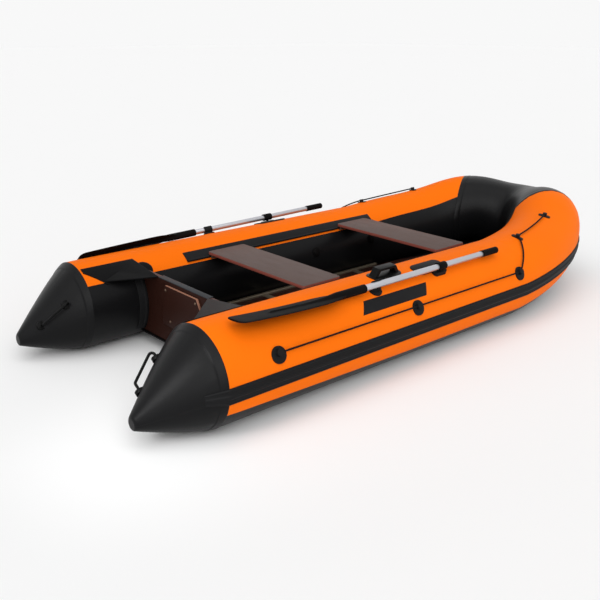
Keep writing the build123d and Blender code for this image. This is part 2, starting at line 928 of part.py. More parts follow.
# Tow eye on the stem, its base bent to the bow
tow_over = bow_sleeve(tube_r + glue + tow_base_t, stem_first)
tow_under = bow_sleeve(tube_r + glue, stem_first)
with BuildPart() as tow:
    across = section(1, 1)
    root = on_tube(across, tube_r, tow_angle)
    out = on_tube(across, tube_r + 1, tow_angle) - root
    lie = Plane(origin=root, x_dir=(0, 1, 0), z_dir=out)
    with BuildSketch(lie):
        Circle(tow_base_r)
    extrude(amount=tow_base_r / 2, both=True)
    add(tow_over, mode=Mode.INTERSECT)
    upright = Plane(origin=root, x_dir=out, z_dir=(0, 1, 0))
    with BuildSketch(upright):
        with Locations((tow_stand, 0)):
            Circle(tow_lug_r)
        with Locations((tow_stand / 2, 0)):
            Rectangle(tow_stand, 2 * tow_lug_r)
        with Locations((tow_stand, 0)):
            Circle(tow_eye_r, mode=Mode.SUBTRACT)
    extrude(amount=tow_lug_t / 2, both=True)
    add(tow_under, mode=Mode.SUBTRACT)
save(tow.part, "tow_eye")
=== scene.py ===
"""Looks of the inflatable boat: coated fabric tubes, plywood, alloy and moulded fittings.

Every length is in metres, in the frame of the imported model: X to the bow, Y to port, Z up.
Places along the boat are measured forward from the stern seams, and angles on a tube are
counted in degrees up from its outboard side.
"""

import json
import logging
import math
from collections.abc import Callable, Sequence
from dataclasses import dataclass, field
from enum import Enum
from functools import cache

import bmesh
import bpy
import numpy as np
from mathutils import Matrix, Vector

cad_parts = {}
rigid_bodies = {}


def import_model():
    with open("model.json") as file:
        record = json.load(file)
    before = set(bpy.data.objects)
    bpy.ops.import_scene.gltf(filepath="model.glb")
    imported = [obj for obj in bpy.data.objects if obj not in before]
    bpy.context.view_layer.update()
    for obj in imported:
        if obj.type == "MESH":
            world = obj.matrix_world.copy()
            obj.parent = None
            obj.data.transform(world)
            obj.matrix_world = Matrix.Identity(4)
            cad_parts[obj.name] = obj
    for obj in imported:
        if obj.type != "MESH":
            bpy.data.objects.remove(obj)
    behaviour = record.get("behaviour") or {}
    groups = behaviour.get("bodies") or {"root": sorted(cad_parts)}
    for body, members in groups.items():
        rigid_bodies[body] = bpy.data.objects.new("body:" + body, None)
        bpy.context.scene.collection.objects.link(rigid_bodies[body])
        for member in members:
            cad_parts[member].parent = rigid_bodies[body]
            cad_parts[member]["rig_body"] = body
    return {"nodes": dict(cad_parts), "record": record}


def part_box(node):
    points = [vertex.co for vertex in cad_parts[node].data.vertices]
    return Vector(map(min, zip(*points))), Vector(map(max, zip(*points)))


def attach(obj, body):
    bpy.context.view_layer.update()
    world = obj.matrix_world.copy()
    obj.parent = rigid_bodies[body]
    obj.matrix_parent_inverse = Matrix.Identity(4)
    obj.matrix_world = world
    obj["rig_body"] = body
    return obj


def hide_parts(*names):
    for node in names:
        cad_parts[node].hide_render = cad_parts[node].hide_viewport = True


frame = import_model()

log = logging.getLogger("boat")
SIDES = {"port": 1, "starboard": -1}
Colour = tuple[float, float, float]
Spot = tuple[float, float, float]


def rgb(red: float, green: float, blue: float) -> Colour:
    """Linear colour of an sRGB colour.

    Args:
        red: Red from 0 to 255.
        green: Green from 0 to 255.
        blue: Blue from 0 to 255.

    Returns:
        The linear colour.
    """
    parts = [value / 255 for value in (red, green, blue)]
    linear = [v / 12.92 if v <= 0.04045 else ((v + 0.055) / 1.055) ** 2.4 for v in parts]
    return (linear[0], linear[1], linear[2])


def scaled(colour: Colour, by: float) -> Colour:
    """A colour made darker or lighter."""
    return (colour[0] * by, colour[1] * by, colour[2] * by)


def all_round(count: int, full: float = 360.0) -> np.ndarray:
    """Evenly spaced angles all round."""
    return np.arange(count) * full / count


def unit(vectors: np.ndarray) -> np.ndarray:
    """Vectors brought to a length of 1."""
    return vectors / np.linalg.norm(vectors, axis=-1, keepdims=True)


def placed(name: str, data: bpy.types.ID) -> bpy.types.Object:
    """Put a mesh, a lamp or a camera in the scene.

    Args:
        name: Name of the object.
        data: What it shows.

    Returns:
        The object.
    """
    made = bpy.data.objects.new(name, data)
    bpy.context.scene.collection.objects.link(made)
    return made


@dataclass(frozen=True)
class Signal:
    """A shader value that can stand in sums, products and comparisons."""

    graph: "Graph"
    socket: bpy.types.NodeSocket

    def _math(self, operation: str, first: object, second: object = 0.0) -> "Signal":
        """Add one Math node.

        Args:
            operation: Blender's name of the operation.
            first: A number or a signal.
            second: A number or a signal.

        Returns:
            The node's value.
        """
        return self.graph.node("ShaderNodeMath", {"operation": operation}, {0: first, 1: second})

    def __add__(self, other: object) -> "Signal":
        """Sum with a number or a signal."""
        return self._math("ADD", self, other)

    __radd__ = __add__

    def __sub__(self, other: object) -> "Signal":
        """Difference from a number or a signal."""
        return self._math("SUBTRACT", self, other)

    def __rsub__(self, other: object) -> "Signal":
        """A number less this signal."""
        return self._math("SUBTRACT", other, self)

    def __mul__(self, other: object) -> "Signal":
        """Product with a number or a signal."""
        return self._math("MULTIPLY", self, other)

    __rmul__ = __mul__

    def __gt__(self, other: object) -> "Signal":
        """One where this signal is the larger."""
        return self._math("GREATER_THAN", self, other)

    def sine(self) -> "Signal":
        """Sine of this signal in radians."""
        return self._math("SINE", self)

    def size(self) -> "Signal":
        """Absolute value."""
        return self._math("ABSOLUTE", self)

    def least(self, other: object) -> "Signal":
        """The smaller of two."""
        return self._math("MINIMUM", self, other)

    def most(self, other: object) -> "Signal":
        """The larger of two."""
        return self._math("MAXIMUM", self, other)

    def along_with(self, other: "Signal", share: float = 0.6) -> "Signal":
        """A share of this signal and the rest of another."""
        return self * share + other * (1 - share)


class Graph:
    """Node tree of one material with a Principled shader at its end."""

    def __init__(self, name: str) -> None:
        """Start an empty material.

        Args:
            name: Name of the material.
        """
        self.material = bpy.data.materials.new(name)
        self.material.use_nodes = True
        self.tree = self.material.node_tree
        self.tree.nodes.clear()
        self.shader = self.tree.nodes.new("ShaderNodeBsdfPrincipled")
        output = self.tree.nodes.new("ShaderNodeOutputMaterial")
        self.tree.links.new(self.shader.outputs[0], output.inputs["Surface"])

    def node(
        self, kind: str, settings: dict | None = None, sockets: dict | None = None, out: object = 0
    ) -> Signal:
        """Add a node of any type.

        Args:
            kind: Blender's type name of the node.
            settings: Properties of the node, set first.
            sockets: Values or signals for the inputs, by name or place.
            out: Name or place of the output that is wanted.

        Returns:
            The wanted output.
        """
        made = self.tree.nodes.new(kind)
        for key, value in (settings or {}).items():
            setattr(made, key, value)
        for key, value in (sockets or {}).items():
            self.feed(made.inputs[key], value)
        return Signal(self, made.outputs[out])

    def feed(self, socket: bpy.types.NodeSocket, value: object) -> None:
        """Set or link one input.

        Args:
            socket: The input.
            value: A number, a colour, a vector or a signal.
        """
        if isinstance(value, Signal):
            self.tree.links.new(value.socket, socket)
        elif socket.type == "RGBA":
            socket.default_value = (*value, 1.0)
        else:
            socket.default_value = value

    def set(self, **values: object) -> None:
        """Set or link inputs of the Principled shader, with _ for the blanks in their names."""
        for key, value in values.items():
            self.feed(self.shader.inputs[key.replace("_", " ")], value)

    def place(self) -> Signal:
        """Position on the object in metres."""
        return self.node("ShaderNodeTexCoord", out="Object")

    def cloth(self) -> Signal:
        """Place on a cut panel: metres along it and round it."""
        return self.node("ShaderNodeAttribute", {"attribute_name": "cloth"}, out="Vector")

    def axes(self, vector: Signal) -> list[Signal]:
        """The three parts of a vector."""
        split = self.node("ShaderNodeSeparateXYZ", {}, {0: vector})
        return [Signal(self, part) for part in split.socket.node.outputs]

    def facing(self) -> list[Signal]:
        """How far the surface faces along each axis, from 0 to 1."""
        normal = self.node("ShaderNodeNewGeometry", out="Normal")
        return [part.size() for part in self.axes(normal)]

    def stretched(self, vector: Signal, scale: Sequence[float]) -> Signal:
        """A vector with each of its parts scaled."""
        return self.node("ShaderNodeVectorMath", {"operation": "MULTIPLY"}, {0: vector, 1: scale})

    def noise(
        self, vector: Signal, scale: float, detail: float = 3.0, rough: float = 0.5
    ) -> Signal:
        """Noise from 0 to 1.

        Args:
            vector: Where it is looked up.
            scale: Waves in a metre.
            detail: Octaves.
            rough: Strength of the finer octaves.

        Returns:
            The noise value.
        """
        sockets = {"Vector": vector, "Scale": scale, "Detail": detail, "Roughness": rough}
        return self.node("ShaderNodeTexNoise", {}, sockets)

    def mix(self, share: object, first: object, second: object) -> Signal:
        """Blend of two colours.

        Args:
            share: Share of the second colour.
            first: Colour or signal at share 0.
            second: Colour or signal at share 1.

        Returns:
            The blended colour.
        """
        return self.node("ShaderNodeMix", {"data_type": "RGBA"}, {0: share, 6: first, 7: second}, 2)

    def bump(self, height: Signal, depth: float, below: Signal | None = None) -> Signal:
        """Bump from a height.

        Args:
            height: Height from 0 to 1.
            depth: Metres that 1 stands for.
            below: A bump that this one lies on.

        Returns:
            The bent normal.
        """
        sockets: dict = {"Height": height, "Distance": depth}
        if below is not None:
            sockets["Normal"] = below
        return self.node("ShaderNodeBump", {}, sockets)


@dataclass(frozen=True)
class Finish:
    """A surface finish, made into a material once."""

    name: str
    colour: Colour

    @cache
    def material(self) -> bpy.types.Material:
        """Make the finish's material.

        Returns:
            The material.
        """
        graph = Graph(self.name)
        self.dress(graph)
        return graph.material

    def toned(self, graph: Graph, tone: Signal, shade: float) -> Signal:
        """The colour, darkened to a shade where the tone is low."""
        return graph.mix(tone, scaled(self.colour, shade), self.colour)

    def dress(self, graph: Graph) -> None:
        """Fill the node tree.

        Args:
            graph: The tree.
        """
        raise NotImplementedError


@dataclass(frozen=True)
class CoatedCloth(Finish):
    """Coated boat fabric: the base weave shows faintly through a satin skin."""

    shade: float = 0.9
    roughness: float = 0.42
    thread: float = 0.0011
    relief: float = 0.00005
    slack: float = 0.0012
    gleam: float = 0.3
    clouds: float = 5.0
    cloud_share: float = 0.7
    flecks: float = 140.0
    waves: float = 9.0
    wave_stretch: Spot = (1.0, 0.35, 1.0)

    def dress(self, graph: Graph) -> None:
        """Fill the node tree.

        Args:
            graph: The tree.
        """
        spot = graph.cloth()
        along, around, _ = graph.axes(spot)
        turn = math.pi / self.thread
        weave = (along * turn).sine() * (around * turn).sine()
        cloud = graph.noise(spot, self.clouds, detail=4.0, rough=0.55)
        fleck = graph.noise(spot, self.flecks, detail=2.0)
        wave = graph.noise(graph.stretched(spot, self.wave_stretch), self.waves, detail=2.0)
        skin = graph.bump(weave * 0.5 + 0.5, self.relief)
        graph.set(
            Base_Color=self.toned(graph, cloud.along_with(fleck, self.cloud_share), self.shade),
            Roughness=self.roughness - 0.05 + cloud * 0.1,
            Normal=graph.bump(wave, self.slack, skin),
            Specular_IOR_Level=self.gleam,
        )


@dataclass(frozen=True)
class MouldedRubber(Finish):
    """Moulded rubber or plastic with a fine open grain and pale scuffs."""

    roughness: float = 0.55
    grain: float = 900.0
    depth: float = 0.0001
    pale: float = 1.9
    gleam: float = 0.1
    patches: float = 14.0
    scuff_from: float = 0.52
    scuff_sharp: float = 3.0
    scuff_share: float = 0.5

    def dress(self, graph: Graph) -> None:
        """Fill the node tree.

        Args:
            graph: The tree.
        """
        spot = graph.place()
        grain = graph.noise(spot, self.grain, detail=2.0)
        patch = graph.noise(spot, self.patches, detail=4.0, rough=0.6)
        scuff = ((patch - self.scuff_from) * self.scuff_sharp).most(0.0).least(1.0)
        pale = scaled(self.colour, self.pale)
        graph.set(
            Base_Color=graph.mix(scuff * self.scuff_share, self.colour, pale),
            Roughness=self.roughness - 0.06 + patch * 0.14,
            Normal=graph.bump(grain, self.depth),
            Specular_IOR_Level=self.gleam,
        )


@dataclass(frozen=True)
class BrushedAlloy(Finish):
    """Drawn alloy with fine lines along its length."""

    roughness: float = 0.3
    lines: float = 700.0
    line_stretch: Spot = (0.02, 1.0, 1.0)
    clouds: float = 22.0
    shade: float = 0.8
    metal: float = 0.85
    relief: float = 0.00006

    def dress(self, graph: Graph) -> None:
        """Fill the node tree.

        Args:
            graph: The tree.
        """
        spot = graph.place()
        drawn = graph.noise(graph.stretched(spot, self.line_stretch), self.lines, detail=2.0)
        cloud = graph.noise(spot, self.clouds)
        graph.set(
            Base_Color=self.toned(graph, drawn.along_with(cloud), self.shade),
            Metallic=self.metal,
            Roughness=self.roughness - 0.08 + drawn * 0.12 + cloud * 0.1,
            Normal=graph.bump(drawn, self.relief),
        )


@dataclass(frozen=True)
class FilmPly(Finish):
    """Plywood faced with a resin film that carries a pressed wire pattern."""

    pitch: float = 0.006
    relief: float = 0.00025
    roughness: float = 0.46
    gleam: float = 0.2
    shade: float = 0.8
    flat_from: float = 0.6
    clouds: float = 7.0
    rubs: float = 30.0
    rub_stretch: Spot = (1.0, 0.25, 1.0)

    def dress(self, graph: Graph) -> None:
        """Fill the node tree.

        Args:
            graph: The tree.
        """
        spot = graph.place()
        turn = math.pi / self.pitch
        lines = [(part * turn).sine().size() for part in graph.axes(spot)]
        flats = [part > self.flat_from for part in graph.facing()]
        wires = [line + flat for line, flat in zip(lines, flats)]
        press = wires[0].least(wires[1]).least(wires[2])
        cloud = graph.noise(spot, self.clouds, detail=5.0, rough=0.6)
        rub = graph.noise(graph.stretched(spot, self.rub_stretch), self.rubs, detail=4.0)
        graph.set(
            Base_Color=self.toned(graph, cloud.along_with(rub), self.shade),
            Roughness=self.roughness - 0.08 + rub * 0.2,
            Normal=graph.bump(press, self.relief),
            Specular_IOR_Level=self.gleam,
        )


@dataclass(frozen=True)
class PlyEdge(Finish):
    """Sawn edge of plywood, its plies stacked along one axis."""

    axis: int = 2
    ply: float = 0.0028
    dark: float = 0.62
    fibres: float = 300.0
    fibre_along: float = 0.2
    fibre_across: float = 2.0
    relief: float = 0.0003

    def dress(self, graph: Graph) -> None:
        """Fill the node tree.

        Args:
            graph: The tree.
        """
        spot = graph.place()
        layer = (graph.axes(spot)[self.axis] * (2 * math.pi / self.ply)).sine() * 0.5 + 0.5
        scale = [self.fibre_along] * 3
        scale[self.axis] = self.fibre_across
        fibre = graph.noise(graph.stretched(spot, scale), self.fibres, detail=4.0)
        graph.set(
            Base_Color=self.toned(graph, layer.along_with(fibre), self.dark),
            Roughness=0.55 + fibre * 0.2,
            Normal=graph.bump(fibre, self.relief),
        )


ORANGE_CLOTH = CoatedCloth("orange_cloth", rgb(250, 115, 15), roughness=0.5, gleam=0.02)
BLACK_CLOTH = CoatedCloth("black_cloth", rgb(18, 18, 19), roughness=0.34, gleam=0.1)
WING_CLOTH = CoatedCloth("wing_cloth", rgb(10, 10, 11), roughness=0.42, gleam=0.06)
BLACK_RUBBER = MouldedRubber("moulded_rubber", rgb(20, 20, 21))
HANDLE_RUBBER = MouldedRubber("handle_rubber", rgb(6, 6, 6), roughness=0.34, gleam=0.09)
BLACK_PLASTIC = MouldedRubber(
    "moulded_plastic", rgb(16, 15, 15), roughness=0.45, grain=1500.0, depth=0.00005, gleam=0.02
)
GREY_PLASTIC = MouldedRubber("cap_plastic", rgb(48, 50, 53), roughness=0.5, grain=1500.0, pale=1.3)
ROPE_BLACK = MouldedRubber(
    "braided_rope", rgb(16, 16, 17), roughness=0.75, grain=2500.0, depth=0.0003
)
SHAFT_ALLOY = BrushedAlloy("drawn_alloy", rgb(196, 197, 202))
MILL_ALLOY = BrushedAlloy("mill_alloy", rgb(150, 138, 120), roughness=0.42)
BOLT_ZINC = BrushedAlloy("bolt_zinc", rgb(112, 92, 78), roughness=0.36)
BROWN_PLY = FilmPly("brown_film_ply", rgb(44, 22, 16), gleam=0.08)
GREY_PLY = FilmPly("grey_film_ply", rgb(84, 67, 62), gleam=0.15)
RED_EDGE = PlyEdge("red_edge", rgb(146, 70, 56))
# Paler copy of the sawn edge, given only to edges that look up: painted highlight where the light
# catches them; the plies are real.
HIGHLIGHT_EDGE = PlyEdge("painted_highlight_edge", rgb(166, 114, 90), axis=0)
BROWN_EDGE = PlyEdge("brown_edge", rgb(70, 36, 28))


def slot_of(node: str) -> str:
    """The record's material slot of a node."""
    return next(row["material_slot"] for row in frame["record"]["subparts"] if row["node"] == node)


def wrap_rows(rows: int, columns: int, loop: bool = False) -> list[Sequence[int]]:
    """Faces of a tube of points, closed round its columns.

    Args:
        rows: Rings along the tube.
        columns: Points in a ring.
        loop: Whether the last ring joins the first, where otherwise both ends get a cap.

    Returns:
        The faces, quads first.
    """
    faces: list[Sequence[int]] = []
    for i in range(rows if loop else rows - 1):
        here, there = i * columns, (i + 1) % rows * columns
        for j in range(columns):
            k = (j + 1) % columns
            faces.append((here + j, here + k, there + k, there + j))
    if not loop:
        faces.append(tuple(range(columns)))
        faces.append(tuple(range((rows - 1) * columns, rows * columns)))
    return faces


@dataclass
class Piece:
    """A mesh in the making, with one finish or several."""

    name: str
    points: np.ndarray
    faces: list[Sequence[int]]
    finishes: list[Finish]
    body: str = "hull"
    slot: str = "black_rubber"
    stands_for: str = ""
    marks: np.ndarray | None = None
    cloth: np.ndarray | None = None
    sharp: float = 40.0

    @classmethod
    def wrapped(
        cls, name: str, rings: np.ndarray, finishes: list[Finish], **rest: object
    ) -> "Piece":
        """A piece whose skin is wrapped round rings of points."""
        return cls(name, rings, wrap_rows(*rings.shape[:2]), finishes, **rest)

    def make(self) -> None:
        """Build the object, dress it and tie it to its body."""
        points = self.points.reshape(-1, 3)
        mesh = bpy.data.meshes.new(self.name)
        mesh.from_pydata(points.tolist(), [], [list(face) for face in self.faces])
        mesh.validate()
        shaped = bmesh.new()
        shaped.from_mesh(mesh)
        bmesh.ops.recalc_face_normals(shaped, faces=shaped.faces)
        shaped.to_mesh(mesh)
        shaped.free()
        for finish in self.finishes:
            mesh.materials.append(finish.material())
        if self.marks is not None:
            mesh.polygons.foreach_set("material_index", self.marks.astype(np.int32))
        spots = points if self.cloth is None else self.cloth
        layer = mesh.attributes.new("cloth", "FLOAT_VECTOR", "POINT")
        layer.data.foreach_set("vector", spots.astype(np.float32).ravel())
        mesh.shade_smooth()
        mesh.set_sharp_from_angle(angle=math.radians(self.sharp))
        made = placed(self.name, mesh)
        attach(made, self.body)
        if self.stands_for:
            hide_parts(self.stands_for)
        log.info("%s: %d faces on %s", self.name, len(self.faces), self.body)


@dataclass(frozen=True)
class TubeLine:
    """Centre line of the buoyancy tube and points on its skin.

    A place on the line is below 0 on the straight sides, in metres before the bow begins,
    and from 0 to 1 round the bow to the centre line.
    """

    radius: float = 0.200
    half: float = 0.488
    bow_start: float = 1.824
    bow_len: float = 0.981
    power: float = 1.08
    sheer: float = 0.078
    rise: float = 0.056
    rise_at: float = 0.61
    rise_spread: float = 0.18
    seam_back: float = 0.316
    seam_half: float = 0.234
    seam_turn: float = 27.0
    seam_within: tuple[float, float] = (0.15, 0.97)
    seam_tries: int = 36
    stern: float = field(default_factory=lambda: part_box("tube_port")[0].x)

    @property
    def bow_run(self) -> float:
        """Metres round the bow for each unit of place, about."""
        return self.bow_len + self.half

    def lift(self, place: np.ndarray) -> np.ndarray:
        """Extra height of the shoulders at places on the line."""
        here = np.exp(-(((np.clip(place, 0, 1) - self.rise_at) / self.rise_spread) ** 2))
        return self.rise * (here - math.exp(-((self.rise_at / self.rise_spread) ** 2)))

    def drop(self, place: np.ndarray) -> np.ndarray:
        """Degrees by which a fair line sinks on the skin at the shoulders."""
        return np.degrees(np.arcsin(self.lift(place) / self.radius))

    def centre(self, place: np.ndarray, side: int) -> np.ndarray:
        """Points on the centre line.

        Args:
            place: Places on the line.
            side: 1 to port, -1 to starboard.

        Returns:
            The points.
        """
        turn = np.clip(place, 0, 1) * math.pi / 2
        reach = np.sin(turn) ** self.power
        x = self.stern + self.bow_start + np.minimum(place, 0) + self.bow_len * reach
        y = side * self.half * np.clip(np.cos(turn), 0, 1) ** self.power
        z = self.radius + self.sheer * reach + self.lift(place)
        return np.stack([x, y, z], -1)

    def axes(self, place: np.ndarray, side: int) -> tuple[np.ndarray, np.ndarray]:
        """Outboard and upward directions across the tube.

        Args:
            place: Places on the line.
            side: 1 to port, -1 to starboard.

        Returns:
            The two directions at each place.
        """
        step = 1e-4
        along = unit(self.centre(place + step, side) - self.centre(place - step, side))
        level = np.zeros_like(along[..., 0])
        out = unit(np.stack([-along[..., 1], along[..., 0], level], -1) * side)
        return out, np.cross(along * side, out)

    def skin(
        self, place: np.ndarray, angle: np.ndarray, side: int, proud: np.ndarray | float = 0.0
    ) -> np.ndarray:
        """Points on the skin.

        Args:
            place: Places on the line.
            angle: Angles up from outboard, in degrees.
            side: 1 to port, -1 to starboard.
            proud: Height above the skin.

        Returns:
            The points.
        """
        place, angle, proud = np.broadcast_arrays(
            np.asarray(place, float), np.asarray(angle, float), np.asarray(proud, float)
        )
        out, up = self.axes(place, side)
        turn = np.radians(angle)[..., None]
        reach = (self.radius + proud)[..., None]
        return self.centre(place, side) + reach * (np.cos(turn) * out + np.sin(turn) * up)

    def seam(self, angle: Callable[[np.ndarray], np.ndarray], count: int, side: int) -> np.ndarray:
        """Places where the slanting bow seam crosses lines on the skin.

        Args:
            angle: Angle of each line at given places.
            count: How many lines there are.
            side: 1 to port, -1 to starboard.

        Returns:
            The place on each line.
        """
        slant = math.radians(self.seam_turn)
        normal = np.array([math.sin(slant), -side * math.cos(slant), 0.0])
        x = self.stern + self.bow_start + self.bow_len - self.seam_back
        point = np.array([x, side * self.seam_half, 0.0])
        low, high = (np.full(count, end) for end in self.seam_within)
        for _ in range(self.seam_tries):
            middle = (low + high) / 2
            past = (self.skin(middle, angle(middle), side) - point) @ normal > 0
            high = np.where(past, middle, high)
            low = np.where(past, low, middle)
        return (low + high) / 2

    def run(self, place: np.ndarray) -> np.ndarray:
        """Metres along the tube from the stern seam, about."""
        return self.bow_start + np.minimum(place, 0) + np.clip(place, 0, 1) * self.bow_run


GATHER_WAVES = ((1.0, 19, 0.0), (0.7, 31, 1.3), (0.5, 47, 0.4))
GATHER_FADE = 0.05
CREASE_FADE = 0.018
CREASE_DEEP = 2.2


def pucker(distance: np.ndarray, angle: np.ndarray, size: float) -> np.ndarray:
    """Small gathers of the fabric that fade away from a seam.

    Args:
        distance: Metres from the seam.
        angle: Degrees round the tube.
        size: Height of the gathers.

    Returns:
        Height above the skin.
    """
    turn = np.radians(angle)
    waves = sum(high * np.sin(count * turn + start) for high, count, start in GATHER_WAVES)
    gap = np.abs(distance)
    return size * (waves * np.exp(-gap / GATHER_FADE) - CREASE_DEEP * np.exp(-gap / CREASE_FADE))


@dataclass
class SideTube:
    """One side tube: an orange panel over the top and a black one underneath."""

    name: str
    side: int
    line: TubeLine
    rows_straight: int = 90
    rows_bow: int = 70
    crowding: float = 0.85
    orange_columns: int = 76
    black_columns: int = 44
    low_stern: float = -26.0
    low_fore: float = -35.0
    low_run: float = 1.0
    low_sink: float = 0.6
    inner_edge: float = 140.0
    overlap: float = 0.0007
    lip: float = 0.006
    gather: float = 0.0005

    def low_edge(self, place: np.ndarray) -> np.ndarray:
        """Angle of the orange panel's lower edge.

        Args:
            place: Places on the line.

        Returns:
            The angle at each place.
        """
        share = np.clip((self.line.bow_start + np.minimum(place, 0)) / self.low_run, 0, 1)
        level = self.low_stern + (self.low_fore - self.low_stern) * share
        return level - self.low_sink * self.line.drop(place)

    def angles(self, place: np.ndarray, share: np.ndarray) -> np.ndarray:
        """Angles of the columns.

        Args:
            place: Places on the line.
            share: 0 to 1 across the orange panel, 1 to 2 across the black one.

        Returns:
            The angles.
        """
        low = self.low_edge(place)
        over = low + (self.inner_edge - low) * np.minimum(share, 1)
        return over + (360 + low - self.inner_edge) * np.maximum(share - 1, 0)

    def build(self) -> None:
        """Shape the skin from the stern seam to the bow seam."""
        line = self.line
        orange = np.linspace(0, 1, self.orange_columns)
        black = 1 + np.linspace(self.lip, 1 - self.lip, self.black_columns)
        shares = np.concatenate([orange, black])
        proud = np.concatenate([np.full(len(orange), self.overlap), np.zeros(len(black))])
        colours = np.concatenate([np.zeros(len(orange) - 1), np.ones(len(black) + 1)])
        ends = line.seam(lambda t: self.angles(t, shares), len(shares), self.side)
        steps = (np.linspace(0, 1, self.rows_bow + 1)[1:, None]) * ends[None, :]
        tight = np.linspace(0, 1, self.rows_straight) ** self.crowding
        straight = np.repeat(((tight - 1) * line.bow_start)[:, None], len(shares), 1)
        place = np.vstack([straight, steps])
        angle = self.angles(place, shares[None, :])
        run = line.run(place)
        stern_gap = line.bow_start + np.minimum(place, 0) + np.maximum(place, 0)
        seam_gap = (ends[None, :] - place) * line.bow_run
        height = proud[None, :] + pucker(stern_gap, angle, self.gather)
        points = line.skin(place, angle, self.side, height + pucker(seam_gap, angle, self.gather))
        points[..., 2] = np.maximum(points[..., 2], 0.0)
        around = np.radians(angle) * line.radius
        Piece.wrapped(
            f"tube_skin_{self.name}",
            points,
            [ORANGE_CLOTH, BLACK_CLOTH],
            slot="orange_skin",
            stands_for=f"tube_{self.name}",
            marks=np.concatenate([np.tile(colours, len(place) - 1), [colours[-1]] * 2]),
            cloth=np.stack([run, around, np.full_like(run, self.side)], -1),
        ).make()


@dataclass
class BowPanel:
    """Black bow segment and the tapes along its two seams."""

    line: TubeLine
    rows_half: int = 60
    columns: int = 112
    gather: float = 0.0005
    ease_run: float = 0.28
    ease_steps: int = 1500
    ease_round: float = 1.5
    tape_columns: int = 160
    tape_wide: float = 0.036
    tape_lap: float = 0.002
    tape_high: float = 0.0012
    tape_soft: float = 0.0011
    tape_sunk: float = 0.0015
    tape_gap: float = 0.02
    tape_gather: float = 0.0003

    def seam_at(self, angle: np.ndarray, side: int) -> np.ndarray:
        """Place of the seam at each angle."""
        return self.line.seam(lambda t: angle, len(angle), side)

    def build(self) -> None:
        """Shape the panel and its tapes."""
        angle = all_round(self.columns)
        share = np.linspace(0, 1, self.rows_half + 1)[:, None]
        rings, cloth, places = [], [], []
        for side, order in ((1, slice(None)), (-1, slice(-2, None, -1))):
            ends = self.seam_at(angle, side)[None, :]
            place = (ends + (1 - ends) * share)[order]
            height = pucker((place - ends) * self.line.bow_run, angle[None, :], self.gather)
            rings.append(self.line.skin(place, angle[None, :], side, height))
            places.append(place)
            run = side * (1 - place) * self.line.bow_run
            turn = np.broadcast_to(np.radians(angle) * self.line.radius, run.shape)
            cloth.append(np.stack([run, turn, np.zeros_like(run)], -1))
        Piece.wrapped(
            "tube_skin_bow",
            self.eased(np.vstack(rings), np.vstack(places), angle),
            [BLACK_CLOTH],
            slot="black_skin",
            stands_for="tube_bow",
            cloth=np.vstack(cloth),
        ).make()
        for name in SIDES:
            self.tape(name)

    def eased(self, points: np.ndarray, place: np.ndarray, angle: np.ndarray) -> np.ndarray:
        """Round the inner side, where the tube turns hardest at the stem.

        Args:
            points: Rows of points from seam to seam.
            place: Their places on the line.
            angle: Angle of each column.

        Returns:
            The rounded rows.
        """
        inner = np.clip(-self.ease_round * np.cos(np.radians(angle)), 0, 1)[None, :]
        near = np.exp(-(((1 - place) / self.ease_run) ** 4))
        share = (0.5 * inner * near)[1:-1, :, None]
        for _ in range(self.ease_steps):
            points[1:-1] += share * ((points[:-2] + points[2:]) / 2 - points[1:-1])
        return points

    def tape(self, name: str) -> None:
        """Lay the seam tape of one side.

        Args:
            name: Which side it is.
        """
        side, line = SIDES[name], self.line
        angle = all_round(self.tape_columns)
        ends = self.seam_at(angle, side)
        step = 1e-3
        ahead = line.skin(ends + step, angle, side) - line.skin(ends - step, angle, side)
        speed = np.linalg.norm(ahead, axis=-1) / (2 * step)
        wide, high, lap, soft = self.tape_wide, self.tape_high, self.tape_lap, self.tape_soft
        across = [-lap, -lap, -lap + soft, wide / 2, wide - soft, wide, wide]
        edge = [-self.tape_sunk, high * 0.45, high]
        gather = pucker(np.full(self.tape_columns, self.tape_gap), angle, self.tape_gather)
        rows = [
            line.skin(ends + a / speed, angle, side, h + gather)
            for a, h in zip(across, [*edge, high * 0.8, *edge[::-1]])
        ]
        run = np.stack([np.radians(angle) * line.radius] * len(across), 1)
        strip = np.broadcast_to(np.array(across), run.shape)
        Piece(
            f"seam_tape_{name}",
            np.stack(rows, 1),
            wrap_rows(self.tape_columns, len(across), loop=True),
            [BLACK_CLOTH],
            slot="black_skin",
            cloth=np.stack([run, strip, np.zeros_like(run)], -1),
        ).make()


